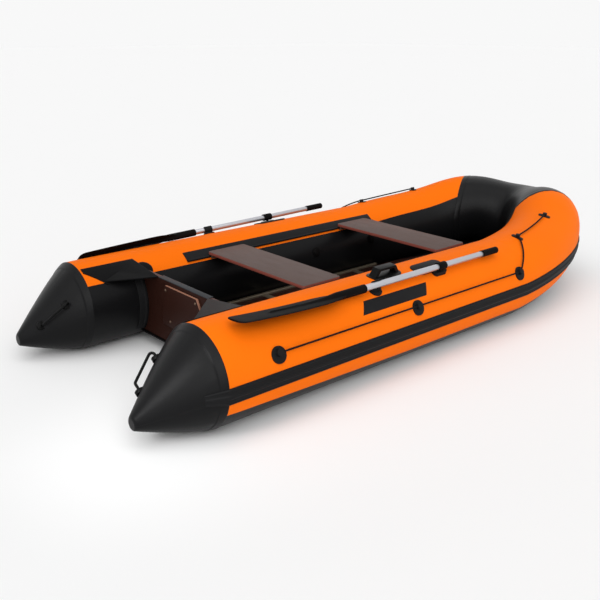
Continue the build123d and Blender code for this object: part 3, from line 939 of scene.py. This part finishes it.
@dataclass
class SternCone:
    """Tapered stern end of a tube with the tape over its seam."""

    name: str
    side: int
    line: TubeLine
    length: float = 0.278
    tip_r: float = 0.025
    tip_z: float = 0.101
    bulge: float = 1.15
    tip_round: float = 0.016
    tip_look: float = 0.02
    tip_rows: int = 11
    tape: float = 0.030
    tape_high: float = 0.0013
    tape_edge: float = 0.0012
    tape_from: float = 0.004
    tape_rows: int = 7
    rows: int = 46
    columns: int = 112
    gather: float = 0.0004

    def radius(self, aft: np.ndarray | float) -> np.ndarray | float:
        """Radius at places aft of the seam."""
        fall = (aft / self.length) ** self.bulge
        return self.line.radius + (self.tip_r - self.line.radius) * fall

    def height(self, aft: np.ndarray | float) -> np.ndarray | float:
        """Height of the centre at places aft of the seam."""
        return self.line.radius + (self.tip_z - self.line.radius) * aft / self.length

    def profile(self) -> np.ndarray:
        """Outline of the cone with its tape and its rounded tip.

        Returns:
            Distance aft of the seam and radius of each ring.
        """
        edge, high = self.tape_edge, self.tape_high
        rings = [(0.0, self.radius(0.0) + high * 0.6), (edge, self.radius(edge) + high)]
        flat = np.linspace(self.tape_from, self.tape - edge, self.tape_rows)
        rings += [(a, self.radius(a) + high) for a in flat]
        rings += [(self.tape, self.radius(self.tape) + high * 0.3)]
        look, bend = self.tip_look, self.tip_round
        slope = math.atan2(self.radius(self.length - look) - self.tip_r, look)
        reach = bend * math.tan((math.pi / 2 - slope) / 2)
        turn_at = self.length - reach * math.cos(slope)
        rings += [(a, self.radius(a)) for a in np.linspace(self.tape + edge, turn_at, self.rows)]
        core = self.tip_r - reach
        for turn in np.linspace(math.pi / 2 - slope, 0, self.tip_rows)[1:]:
            rings.append((self.length - bend + bend * math.cos(turn), core + bend * math.sin(turn)))
        return np.array(rings)

    def build(self) -> None:
        """Shape the cone."""
        rings = self.profile()
        angle = all_round(self.columns)
        turn = np.radians(angle)[None, :]
        aft, reach = rings[:, :1], rings[:, 1:]
        reach = reach + pucker(aft - self.tape, angle[None, :], self.gather) * (aft >= self.tape)
        x = np.broadcast_to(self.line.stern - aft, (len(rings), self.columns))
        y = self.side * (self.line.half + reach * np.cos(turn))
        z = np.maximum(self.height(aft) + reach * np.sin(turn), 0.0)
        Piece.wrapped(
            f"cone_skin_{self.name}",
            np.stack([x, y, z], -1),
            [BLACK_CLOTH],
            slot="black_skin",
            stands_for=f"cone_{self.name}",
            cloth=np.stack([aft + 0 * x, turn * self.line.radius + 0 * x, 0 * x], -1),
        ).make()


@dataclass
class RubbingStrake:
    """Ribbed rubber strake in one run from cone to cone."""

    line: TubeLine
    cone: SternCone
    thick: float = 0.009
    low: float = -11.0
    high: float = 7.0
    tail_len: float = 0.078
    tail_thick: float = 0.005
    tail_low: float = -2.0
    tail_high: float = 12.0
    tail_rows: int = 14
    base: float = 0.0003
    rows_straight: int = 60
    rows_bow: int = 80
    columns: int = 33
    bead_half: float = 0.15
    edge_at: float = 0.1
    edge_half: float = 0.07
    edge_high: float = 0.78
    trough: float = 0.52
    rim: float = 0.35

    def ribs(self) -> tuple[np.ndarray, np.ndarray]:
        """Outline across the strake.

        Returns:
            Share of the way up and share of the full height.
        """
        up = np.linspace(0, 1, self.columns)
        bead = np.exp(-(((up - 0.5) / self.bead_half) ** 4))
        places = (self.edge_at, 1 - self.edge_at)
        edges = sum(np.exp(-(((up - at) / self.edge_half) ** 4)) for at in places) * self.edge_high
        height = np.maximum(np.maximum(bead, edges), self.trough)
        height[[0, -1]] = self.rim
        return np.concatenate([[0.0], up, [1.0]]), np.concatenate([[0.0], height, [0.0]])

    def rows(self, side: int) -> list[np.ndarray]:
        """Outlines of one side from its tail to the centre line.

        Args:
            side: 1 to port, -1 to starboard.

        Returns:
            The points of each outline.
        """
        up, height = self.ribs()
        made = []
        for share in np.linspace(1, 0, self.tail_rows)[:-1]:
            aft = share * self.tail_len
            low = self.low + (self.tail_low - self.low) * share
            high = self.high + (self.tail_high - self.high) * share
            thick = self.thick + (self.tail_thick - self.thick) * share
            turn = np.radians(low + (high - low) * up)
            out = self.cone.radius(aft) + self.base + thick * height
            z = self.cone.height(aft) + out * np.sin(turn)
            y = side * (self.line.half + out * np.cos(turn))
            made.append(np.stack([np.full_like(y, self.line.stern - aft), y, z], -1))
        straight = np.linspace(-self.line.bow_start, 0, self.rows_straight)
        proud = self.base + self.thick * height
        for place in np.concatenate([straight, np.linspace(0, 1, self.rows_bow)[1:]]):
            drop = float(self.line.drop(np.array(place)))
            turn = self.low - drop + (self.high - self.low) * up
            made.append(self.line.skin(np.full_like(up, place), turn, side, proud))
        return made

    def build(self) -> None:
        """Shape the strake."""
        Piece.wrapped(
            "strake_ribbed",
            np.stack(self.rows(1) + self.rows(-1)[-2::-1]),
            [BLACK_RUBBER],
            stands_for="rubbing_strake",
            sharp=60.0,
        ).make()


class Lie(Enum):
    """How a board lies, which tells its faced sides from its sawn edges."""

    NONE = "moulded all over"
    LEVEL = "level"
    ACROSS = "upright across the boat"


class Edge(Enum):
    """Radius to which a piece's sharp edges are rounded, and the steps of the rounding."""

    HAIR = (0.0004, 2)
    FINE = (0.0006, 2)
    THIN = (0.001, 2)
    SMALL = (0.0012, 2)
    EASED = (0.0015, 2)
    SOFT = (0.0018, 3)
    BROAD = (0.002, 2)
    SMOOTH = (0.002, 3)
    ROUND = (0.0025, 3)
    FULL = (0.004, 2)


@dataclass
class Fitting:
    """A rigid CAD piece with its sharp edges rounded as they are moulded or sanded.

    The first finish is for the faced sides of a board, the second for its sawn edges; with
    a third one the second, a paler copy with painted highlight, is for the edges that look up, and
    the third for the rest.
    """

    node: str
    finishes: list[Finish]
    edge: Edge
    lie: Lie = Lie.NONE
    same_point: float = 2e-6
    flat_below: float = 0.6
    hard_above: float = 32.0
    faced_from: float = 0.7
    up_from: float = 0.2

    def finish_of(self, normal: Vector) -> int:
        """Place in the list of the finish of a face that looks along a normal.

        Args:
            normal: Direction in which the face looks.

        Returns:
            The place, counted from 0.
        """
        faced = {Lie.NONE: 1.0, Lie.LEVEL: abs(normal.z)}.get(self.lie, abs(normal.x))
        if faced > self.faced_from:
            return 0
        return 1 if len(self.finishes) < 3 or normal.z > self.up_from else 2

    def build(self) -> None:
        """Make the rounded copy that stands for the CAD node."""
        source = frame["nodes"][self.node]
        shape = bmesh.new()
        shape.from_mesh(source.data)
        bmesh.ops.remove_doubles(shape, verts=shape.verts, dist=self.same_point)
        bmesh.ops.dissolve_limit(
            shape, angle_limit=math.radians(self.flat_below), verts=shape.verts, edges=shape.edges
        )
        limit = math.radians(self.hard_above)
        radius, steps = self.edge.value
        bmesh.ops.bevel(
            shape,
            geom=[e for e in shape.edges if e.is_manifold and e.calc_face_angle(0.0) > limit],
            offset=radius,
            offset_type="OFFSET",
            segments=steps,
            profile=0.5,
            affect="EDGES",
            clamp_overlap=True,
        )
        shape.normal_update()
        shape.verts.index_update()
        open_edges = sum(not e.is_manifold for e in shape.edges)
        if open_edges:
            log.warning("%s has %d open edges", self.node, open_edges)
        points = np.array([v.co for v in shape.verts])
        faces = [tuple(v.index for v in f.verts) for f in shape.faces]
        marks = np.array([self.finish_of(f.normal) for f in shape.faces])
        shape.free()
        Piece(
            f"{self.node}_dressed",
            points,
            faces,
            self.finishes,
            body=source["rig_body"],
            slot=slot_of(self.node),
            stands_for=self.node,
            marks=marks,
            sharp=50.0,
        ).make()


def fit(*rows: tuple) -> None:
    """Dress CAD pieces, each row the values of one Fitting."""
    for row in rows:
        Fitting(*row).build()


def turned(
    profile: Sequence[tuple[float, float]], foot: Vector, axis: Vector, columns: int
) -> tuple[np.ndarray, list]:
    """A shape turned about an axis.

    Args:
        profile: Height along the axis and radius of each ring.
        foot: Where height 0 is.
        axis: Direction of the axis.
        columns: Points in a ring.

    Returns:
        The points and the faces.
    """
    axis = axis.normalized()
    first = axis.orthogonal().normalized()
    second = axis.cross(first)
    turns = [2 * math.pi * k / columns for k in range(columns)]
    spokes = [first * math.cos(t) + second * math.sin(t) for t in turns]
    points = [foot + axis * h + spoke * r for h, r in profile for spoke in spokes]
    return np.array(points), wrap_rows(len(profile), columns)


@dataclass
class Transom:
    """Transom board with its motor pads, cap, wings, holders and bolts.

    The washer and the nut are rings: height, and radius as a share of the bolt's.
    """

    line: TubeLine
    bolt_places: tuple[tuple[float, float], ...] = ((0.113, 0.316), (0.084, 0.177))
    bolt_r: float = 0.0045
    bolt_high: float = 0.0035
    bolt_step: float = 0.25
    washer: tuple = ((0.0, 1.45), (0.0011, 1.45), (0.0014, 1.35), (0.0014, 1.0))
    nut: tuple = ((0.0075, 1.0), (0.0085, 0.86), (0.0085, 0.55), (0.012, 0.5))
    head_sides: int = 32
    nut_sides: int = 6
    tab_ahead: float = 0.027
    tab_reach: float = 0.042
    tab_angle: float = 133.0
    tab_half: float = 12.0
    tab_edge: float = 0.002
    tab_dome: float = 0.009
    tab_columns: int = 64
    tab_rows: int = 16
    tab_top: float = 0.47

    def build(self) -> None:
        """Dress the boards and set the bolts."""
        # The pads' edges that look up take the paler edge finish: a painted highlight.
        pad = [BROWN_PLY, HIGHLIGHT_EDGE, BROWN_EDGE]
        fit(
            ("transom_board", [BROWN_PLY, BROWN_EDGE], Edge.BROAD, Lie.ACROSS),
            ("motor_pad_outer", pad, Edge.EASED, Lie.ACROSS),
            ("motor_pad_inner", pad, Edge.EASED, Lie.ACROSS),
            ("transom_cap", [GREY_PLASTIC], Edge.SMALL),
        )
        for name in SIDES:
            fit(
                (f"transom_wing_{name}", [WING_CLOTH], Edge.SMALL),
                (f"transom_holder_{name}", [BLACK_RUBBER], Edge.BROAD),
            )
            self.tab(name)
        self.bolts()

    def tab(self, name: str) -> None:
        """Lay the rounded tab in which a wing ends on the tube ahead of the transom.

        Args:
            name: Which side it is.
        """
        wing_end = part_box(f"transom_wing_{name}")[1].x
        fore = wing_end - self.line.stern - self.line.bow_start + self.tab_ahead
        turn = np.radians(all_round(self.tab_columns))
        fall = np.linspace(0, self.tab_top * math.pi, self.tab_rows)
        share = np.concatenate([[1.0], np.cos(fall)])[:, None]
        rise = (self.tab_dome - self.tab_edge) * np.sqrt(1 - share ** 2)
        proud = self.tab_edge + rise + np.zeros_like(turn)[None, :]
        proud[0] = -self.tab_edge
        place = fore + self.tab_reach * share * np.cos(turn)[None, :]
        angle = self.tab_angle + self.tab_half * share * np.sin(turn)[None, :]
        points = self.line.skin(place, angle, SIDES[name], proud)
        Piece.wrapped(f"wing_tab_{name}", points, [WING_CLOTH], slot="black_skin").make()

    def bolts(self) -> None:
        """Set a domed bolt head outside and a nut inside at each place."""
        r, high, foot = self.bolt_r, self.bolt_high, self.washer[-1][0]
        washer, nut = ([(h, r * wide) for h, wide in rings] for rings in (self.washer, self.nut))
        dome = [k * self.bolt_step for k in range(1, 6)]
        head = washer + [(foot + high * math.sin(t), r * math.cos(t)) for t in dome]
        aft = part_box("motor_pad_outer")[0].x
        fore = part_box("motor_pad_inner")[1].x
        ends = ((aft, -1, head, self.head_sides), (fore, 1, washer + nut, self.nut_sides))
        points, faces, count = [], [], 0
        for y, z in self.bolt_places:
            for side in SIDES.values():
                for x, way, rings, columns in ends:
                    spot = Vector((x, side * y, z))
                    some, over = turned(rings, spot, Vector((way, 0, 0)), columns)
                    points.append(some)
                    faces += [tuple(i + count for i in face) for face in over]
                    count += len(some)
        Piece(
            "transom_bolts", np.vstack(points), faces, [BOLT_ZINC], slot="floor_alloy", sharp=30.0
        ).make()


@dataclass
class Floor:
    """Bottom skin, keel tube and the plywood floor with its alloy sections."""

    boards: tuple[str, ...] = ("aft", "mid", "fore")

    def build(self) -> None:
        """Dress the floor."""
        for name in self.boards:
            fit((f"floor_board_{name}", [BROWN_PLY, BROWN_EDGE], Edge.EASED, Lie.LEVEL))
        fit(("floor_joiners", [MILL_ALLOY], Edge.FINE))
        for name in SIDES:
            fit(
                (f"floor_stringer_{name}", [MILL_ALLOY], Edge.EASED),
                (f"seat_track_{name}", [BLACK_RUBBER], Edge.THIN),
            )
        fit(("bottom_skin", [BLACK_CLOTH], Edge.THIN), ("keel_tube", [BLACK_CLOTH], Edge.FULL))


@dataclass
class Bench:
    """One sliding seat with the hooks that hold it on the tracks."""

    name: str

    def build(self) -> None:
        """Dress the seat."""
        fit(
            (f"seat_{self.name}", [GREY_PLY, RED_EDGE], Edge.ROUND, Lie.LEVEL),
            (f"seat_hooks_{self.name}", [MILL_ALLOY], Edge.THIN),
        )


@dataclass(frozen=True)
class OarLie:
    """How one oar lies: its slope, and the turn and bend of its blade."""

    pitch: float
    roll: float
    bend: float


OAR_LIES = {"port": OarLie(0.9, 40.0, -0.008), "starboard": OarLie(0.0, 5.0, 0.024)}


@dataclass
class Oar:
    """One oar: moulded blade, alloy shaft, ribbed grip and the ring with its pin."""

    name: str
    side: int
    line: TubeLine
    tip: float = 0.090
    tip_rows: int = 10
    length: float = 0.540
    half: float = 0.053
    thick: float = 0.008
    thin_edge: float = 0.35
    round_off: float = 0.024
    taper: float = 0.150
    neck_r: float = 0.018
    neck_len: float = 0.162
    neck_lap: float = 0.040
    neck_edge: float = 0.002
    rib_len: float = 0.330
    rib_half: float = 0.005
    rib_thick: float = 0.017
    rib_start: float = 0.03
    bore_r: float = 0.0137
    bore_deep: float = 0.02
    rows: int = 90
    columns: int = 64
    grip_at: float = 1.535
    grip_len: float = 0.120
    grip_r: float = 0.016
    grip_edge: float = 0.0012
    grip_end: float = 0.006
    grip_columns: int = 48
    ring_pitch: float = 0.011
    ring_deep: float = 0.0014
    ring_from: float = 0.008
    ring_to: float = 0.014
    ring_rows: int = 60
    pin_at: float = 1.239
    axis_angle: float = 61.3
    axis_high: float = 0.033

    def __post_init__(self) -> None:
        """Find the oar's own axes from the way it lies."""
        lie = OAR_LIES[self.name]
        pitch, roll = math.radians(lie.pitch), math.radians(lie.roll)
        self.along = np.array([math.cos(pitch), 0.0, math.sin(pitch)])
        self.wide = unit(np.cross([0.0, math.sin(roll), math.cos(roll)], self.along))
        self.face = np.cross(self.along, self.wide)
        self.bend = lie.bend
        place = np.array(self.pin_at - self.line.bow_start)
        pin = self.line.skin(place, np.array(self.axis_angle), self.side, self.axis_high)
        self.start = pin - self.along * self.pin_at

    def spot(self, x: np.ndarray, across: np.ndarray, up: np.ndarray) -> np.ndarray:
        """Points given along the oar, across its blade and off its face."""
        parts = zip(np.broadcast_arrays(x, across, up), (self.along, self.wide, self.face))
        return self.start + sum(value[..., None] * axis for value, axis in parts)

    def breadth(self, x: float) -> float:
        """Half width of the blade at a place along the oar.

        Args:
            x: The place.

        Returns:
            The half width.
        """
        root = self.tip + self.length
        if x < self.tip + self.round_off:
            over = self.tip + self.round_off - x
            return self.half - self.round_off + math.sqrt(max(self.round_off ** 2 - over ** 2, 0))
        if x < root - self.taper:
            return self.half
        fall = self.half - self.neck_r
        bend = (self.taper ** 2 + fall ** 2) / (2 * fall)
        past = min(x - root + self.taper, self.taper)
        return self.half - bend + math.sqrt(bend ** 2 - past ** 2)

    def sag(self, x: float) -> float:
        """How far the blade bends off the oar's axis at a place along it."""
        return self.bend * max(self.tip + self.length - x, 0) ** 2 / self.length ** 2

    def thickness(self, x: float, across: np.ndarray) -> np.ndarray:
        """Half thickness of the blade, its rib and its socket.

        Args:
            x: Place along the oar.
            across: Places across the blade.

        Returns:
            The half thickness at each place.
        """
        wide = self.breadth(x)
        if x >= self.tip + self.length:
            return np.sqrt(np.maximum(wide ** 2 - across ** 2, 0))
        edge = np.abs(across / wide)
        plate = self.thick / 2 * np.sqrt(1 - edge ** 8) * (1 - self.thin_edge * edge ** 2)
        past = x - (self.tip + self.length - self.neck_lap) + self.rib_len
        share = float(np.clip(past / self.rib_len, 0, 1))
        rib_wide = self.rib_half + (self.neck_r - self.rib_half) * share ** 1.5
        rib_high = self.rib_thick / 2 + (self.neck_r - self.rib_thick / 2) * share ** 4
        rib_high *= float(np.clip((past + self.rib_start) / self.rib_start, 0, 1))
        return np.maximum(plate, rib_high * np.sqrt(np.maximum(1 - (across / rib_wide) ** 2, 0)))

    def blade(self) -> None:
        """Loft the blade and its socket."""
        end = self.tip + self.length - self.neck_lap + self.neck_len
        turn = all_round(self.columns, 2 * np.pi)
        side = np.sign(np.sin(turn))
        tip = self.tip + self.round_off * (1 - np.cos(np.linspace(0, np.pi / 2, self.tip_rows)))
        rest = np.linspace(tip[-1], end - self.neck_edge, self.rows)[1:]
        rows = []
        for x in np.concatenate([tip, rest]):
            across = self.breadth(x) * np.cos(turn)
            rows.append(self.spot(x, across, self.sag(x) + side * self.thickness(x, across)))
        inside = end - self.bore_deep
        lip = self.neck_r - self.neck_edge
        for x, r in ((end, lip), (end, self.bore_r), (inside, self.bore_r)):
            rows.append(self.spot(np.array(x), r * np.cos(turn), r * np.sin(turn)))
        Piece.wrapped(
            f"oar_blade_moulded_{self.name}",
            np.stack(rows),
            [BLACK_PLASTIC],
            body=f"oar_{self.name}",
            slot="black_plastic",
            stands_for=f"oar_blade_{self.name}",
        ).make()

    def grip(self) -> None:
        """Turn the grip with its finger rings."""
        r, bend = self.grip_r, self.grip_end
        profile = [(self.bore_deep, self.bore_r), (0.0, self.bore_r)]
        profile += [(0.0, r - self.grip_edge), (self.grip_edge, r)]
        for along in np.linspace(self.ring_from, self.grip_len - self.ring_to, self.ring_rows):
            wave = 0.5 + 0.5 * math.cos(2 * math.pi * along / self.ring_pitch)
            profile.append((float(along), r - self.ring_deep * (1 - wave ** 0.5)))
        end = self.grip_len - bend
        turns = [k * math.pi / 12 for k in range(7)]
        profile += [(end + bend * math.sin(t), r - bend + bend * math.cos(t)) for t in turns]
        foot = Vector(self.start + self.along * self.grip_at)
        Piece(
            f"oar_grip_ringed_{self.name}",
            *turned(profile, foot, Vector(self.along), self.grip_columns),
            [BLACK_PLASTIC],
            body=f"oar_{self.name}",
            slot="black_plastic",
            stands_for=f"oar_grip_{self.name}",
            sharp=60.0,
        ).make()

    def build(self) -> None:
        """Make the oar and dress the fittings that hold it."""
        self.blade()
        self.grip()
        fit(
            (f"oar_shaft_{self.name}", [SHAFT_ALLOY], Edge.FINE),
            (f"oar_ring_{self.name}", [BLACK_PLASTIC], Edge.SMALL),
            (f"rowlock_{self.name}", [BLACK_RUBBER], Edge.ROUND),
            (f"oar_clip_{self.name}", [BLACK_RUBBER], Edge.EASED),
        )


def arc_through(first: Vector, middle: Vector, last: Vector, count: int) -> list[Vector]:
    """Points on the circle through three points.

    Args:
        first: Where the arc starts.
        middle: A point that it passes.
        last: Where it ends.
        count: How many points.

    Returns:
        The points, both ends included.
    """
    a, b = middle - first, last - first
    normal = a.cross(b)
    lean = b.length_squared * normal.cross(a) + a.length_squared * b.cross(normal)
    centre = first + lean / (2 * normal.length_squared)
    u = (first - centre).normalized()
    v = normal.normalized().cross(u)
    end = math.atan2((last - centre).dot(v), (last - centre).dot(u)) % (2 * math.pi)
    r = (first - centre).length
    turns = [end * k / (count - 1) for k in range(count)]
    return [centre + r * (math.cos(turn) * u + math.sin(turn) * v) for turn in turns]


@dataclass
class GrabLine:
    """Laid rope of one side with the patches and cleats that hold it."""

    name: str
    side: int
    line: TubeLine
    rope_r: float = 0.004
    stand: float = 0.012
    angle: float = 26.0
    straight: tuple[float, float] = (0.235, 1.762)
    bend: tuple[float, float] = (0.021, 46.0)
    crest: tuple[float, float] = (0.22, 78.0)
    cleats: tuple[tuple[float, float], ...] = ((0.0915, 75.5), (0.36, 79.0))
    counts: tuple[int, int, int] = (60, 60, 80)
    lay: float = 0.034
    step: float = 0.0026
    strands: int = 3
    strand_dip: float = 0.2
    strand_round: float = 0.7
    columns: int = 18

    def spot(self, place: float, angle: float) -> Vector:
        """Point on the rope's line over the tube."""
        return Vector(self.line.skin(np.array(place), np.array(angle), self.side, self.stand))

    def route(self) -> np.ndarray:
        """Line of the rope from its first eye to its last cleat.

        Returns:
            Evenly spaced points.
        """
        start, turn = [self.spot(x - self.line.bow_start, self.angle) for x in self.straight]
        bend, crest = self.spot(*self.bend), self.spot(*self.crest)
        low, high = [self.spot(*place) for place in self.cleats]
        straight, lower, upper = self.counts
        path = [start.lerp(turn, k / straight) for k in range(straight)]
        path += arc_through(turn, bend, low, lower)[:-1] + arc_through(low, crest, high, upper)
        rough = np.array(path)
        run = np.concatenate([[0], np.cumsum(np.linalg.norm(np.diff(rough, axis=0), axis=1))])
        even = np.linspace(0, run[-1], int(run[-1] / self.step))
        return np.stack([np.interp(even, run, rough[:, k]) for k in range(3)], -1)

    def rope(self) -> None:
        """Lay three strands round the line."""
        path = self.route()
        along = unit(np.gradient(path, axis=0))
        first = unit(np.cross(along, [0.0, 0.0, 1.0]))
        second = np.cross(first, along)
        turn = all_round(self.columns, 2 * np.pi)
        twist = 2 * np.pi * self.step * np.arange(len(path)) / self.lay
        lobe = np.abs(np.cos(self.strands / 2 * (turn[None, :] - twist[:, None])))
        dip = self.strand_dip
        reach = self.rope_r * (1 - dip + dip * lobe ** self.strand_round)
        wide, high = (part[None, :, None] for part in (np.cos(turn), np.sin(turn)))
        spokes = wide * first[:, None, :] + high * second[:, None, :]
        Piece.wrapped(
            f"rope_laid_{self.name}",
            path[:, None, :] + reach[..., None] * spokes,
            [ROPE_BLACK],
            slot="rope",
            stands_for=f"grab_line_{self.name}",
            sharp=70.0,
        ).make()

    def build(self) -> None:
        """Lay the rope and dress its eyes."""
        self.rope()
        fit((f"grab_line_eyes_{self.name}", [BLACK_RUBBER], Edge.SOFT))


@dataclass
class SkinFittings:
    """Handles, valves, patches and the tow eye on the tubes."""

    def build(self) -> None:
        """Dress the fittings."""
        fit(
            ("carry_handle_starboard", [HANDLE_RUBBER], Edge.SMOOTH),
            ("tow_eye", [BLACK_RUBBER], Edge.SMOOTH),
        )
        for name in SIDES:
            fit(
                (f"stern_handle_{name}", [HANDLE_RUBBER], Edge.EASED),
                (f"valves_{name}", [BLACK_PLASTIC], Edge.SMALL),
                (f"side_patch_{name}", [BLACK_RUBBER], Edge.HAIR),
            )


@dataclass(frozen=True)
class FarLamp:
    """A broad far lamp: its direction, breadth in degrees and share of the light on the floor."""

    name: str
    toward: Spot
    breadth: float
    share: float


@dataclass
class Studio:
    """Pale floor, two broad far lamps, a small lamp at the stern, even surround and camera."""

    camera_at: Spot = (-2.78815, -2.582, 1.394)
    target: Spot = (-0.66715, 0.0, 0.25)
    lens: float = 45.73
    sensor: float = 36.0
    shift: tuple[float, float] = (0.0659, -0.0165)
    ground: Colour = (0.93, 0.93, 0.93)
    ground_shade: float = 0.995
    ground_reach: float = 60.0
    seen: Colour = (0.94, 0.94, 0.94)
    surround: float = 0.45
    lamps: tuple[FarLamp, ...] = (
        FarLamp("high_lamp", (-0.35, -0.3, 0.9), 80.0, 0.42),
        FarLamp("side_lamp", (-0.45, -0.85, 0.5), 50.0, 0.14),
    )
    fill_at: Spot = (-2.6, -0.6, 0.95)
    fill_to: Spot = (-1.5, -0.5, 0.25)
    fill_size: float = 0.6
    fill_power: float = 0.65
    fill_spread: float = 44.0

    def build(self) -> None:
        """Set up the stage."""
        self.floor()
        self.world()
        for lamp in self.lamps:
            self.far_lamp(lamp)
        self.fill()
        self.camera()

    def floor(self) -> None:
        """Lay the floor."""
        graph = Graph("pale_floor")
        haze = graph.noise(graph.place(), 0.7, detail=2.0)
        tone = graph.mix(haze, scaled(self.ground, self.ground_shade), self.ground)
        graph.set(Base_Color=tone, Roughness=0.95, Specular_IOR_Level=0.1)
        mesh = bpy.data.meshes.new("floor")
        corners = ((-1, -1), (1, -1), (1, 1), (-1, 1))
        reach = self.ground_reach
        mesh.from_pydata([(x * reach, y * reach, 0) for x, y in corners], [], [(0, 1, 2, 3)])
        mesh.materials.append(graph.material)
        placed("floor", mesh)

    def world(self) -> None:
        """Light evenly from all round, with a paler ground for what is seen or mirrored."""
        world = bpy.data.worlds.new("surround")
        bpy.context.scene.world = world
        world.use_nodes = True
        tree = world.node_tree
        tree.nodes.clear()
        path = tree.nodes.new("ShaderNodeLightPath").outputs
        blend = tree.nodes.new("ShaderNodeMixShader")
        lights = {1: ((1.0, 1.0, 1.0), self.surround), 2: (self.seen, 1.0)}
        for place, (colour, strength) in lights.items():
            light = tree.nodes.new("ShaderNodeBackground")
            light.inputs["Color"].default_value = (*colour, 1.0)
            light.inputs["Strength"].default_value = strength
            tree.links.new(light.outputs[0], blend.inputs[place])
        plain = path["Is Camera Ray"]
        for ray in ("Is Glossy Ray", "Is Transmission Ray"):
            either = tree.nodes.new("ShaderNodeMath")
            either.operation = "MAXIMUM"
            tree.links.new(plain, either.inputs[0])
            tree.links.new(path[ray], either.inputs[1])
            plain = either.outputs[0]
        tree.links.new(plain, blend.inputs[0])
        output = tree.nodes.new("ShaderNodeOutputWorld")
        tree.links.new(blend.outputs[0], output.inputs["Surface"])

    def far_lamp(self, lamp: FarLamp) -> None:
        """Hang a broad far lamp.

        Args:
            lamp: The lamp.
        """
        way = Vector(lamp.toward).normalized()
        light = bpy.data.lights.new(lamp.name, "SUN")
        light.angle = math.radians(lamp.breadth)
        light.energy = lamp.share * math.pi / way.z
        placed(lamp.name, light).rotation_euler = way.to_track_quat("Z", "Y").to_euler()

    def fill(self) -> None:
        """Hang a small square lamp with a narrow beam astern, over the cones."""
        light = bpy.data.lights.new("fill_lamp", "AREA")
        light.size = self.fill_size
        light.energy = self.fill_power
        light.spread = math.radians(self.fill_spread)
        made = placed("fill_lamp", light)
        made.location = self.fill_at
        way = Vector(self.fill_at) - Vector(self.fill_to)
        made.rotation_euler = way.to_track_quat("Z", "Y").to_euler()

    def camera(self) -> None:
        """Set the camera where the photograph was taken from."""
        lens = bpy.data.cameras.new("camera")
        lens.lens = self.lens
        lens.sensor_width = self.sensor
        lens.shift_x, lens.shift_y = self.shift
        made = placed("camera", lens)
        made.location = self.camera_at
        way = Vector(self.target) - Vector(self.camera_at)
        made.rotation_euler = way.to_track_quat("-Z", "Y").to_euler()
        bpy.context.scene.camera = made


def main() -> None:
    """Build the pieces in order."""
    logging.basicConfig(level=logging.INFO, format="%(name)s %(message)s")
    bpy.context.scene.view_settings.view_transform = "Standard"
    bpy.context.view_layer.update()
    line = TubeLine()
    for name, side in SIDES.items():
        SideTube(name, side, line).build()
        cone = SternCone(name, side, line)
        cone.build()
        Oar(name, side, line).build()
        GrabLine(name, side, line).build()
    BowPanel(line).build()
    RubbingStrake(line, cone).build()
    Transom(line).build()
    Floor().build()
    for name in ("aft", "fore"):
        Bench(name).build()
    SkinFittings().build()
    Studio().build()


if __name__ == "__main__":
    main()
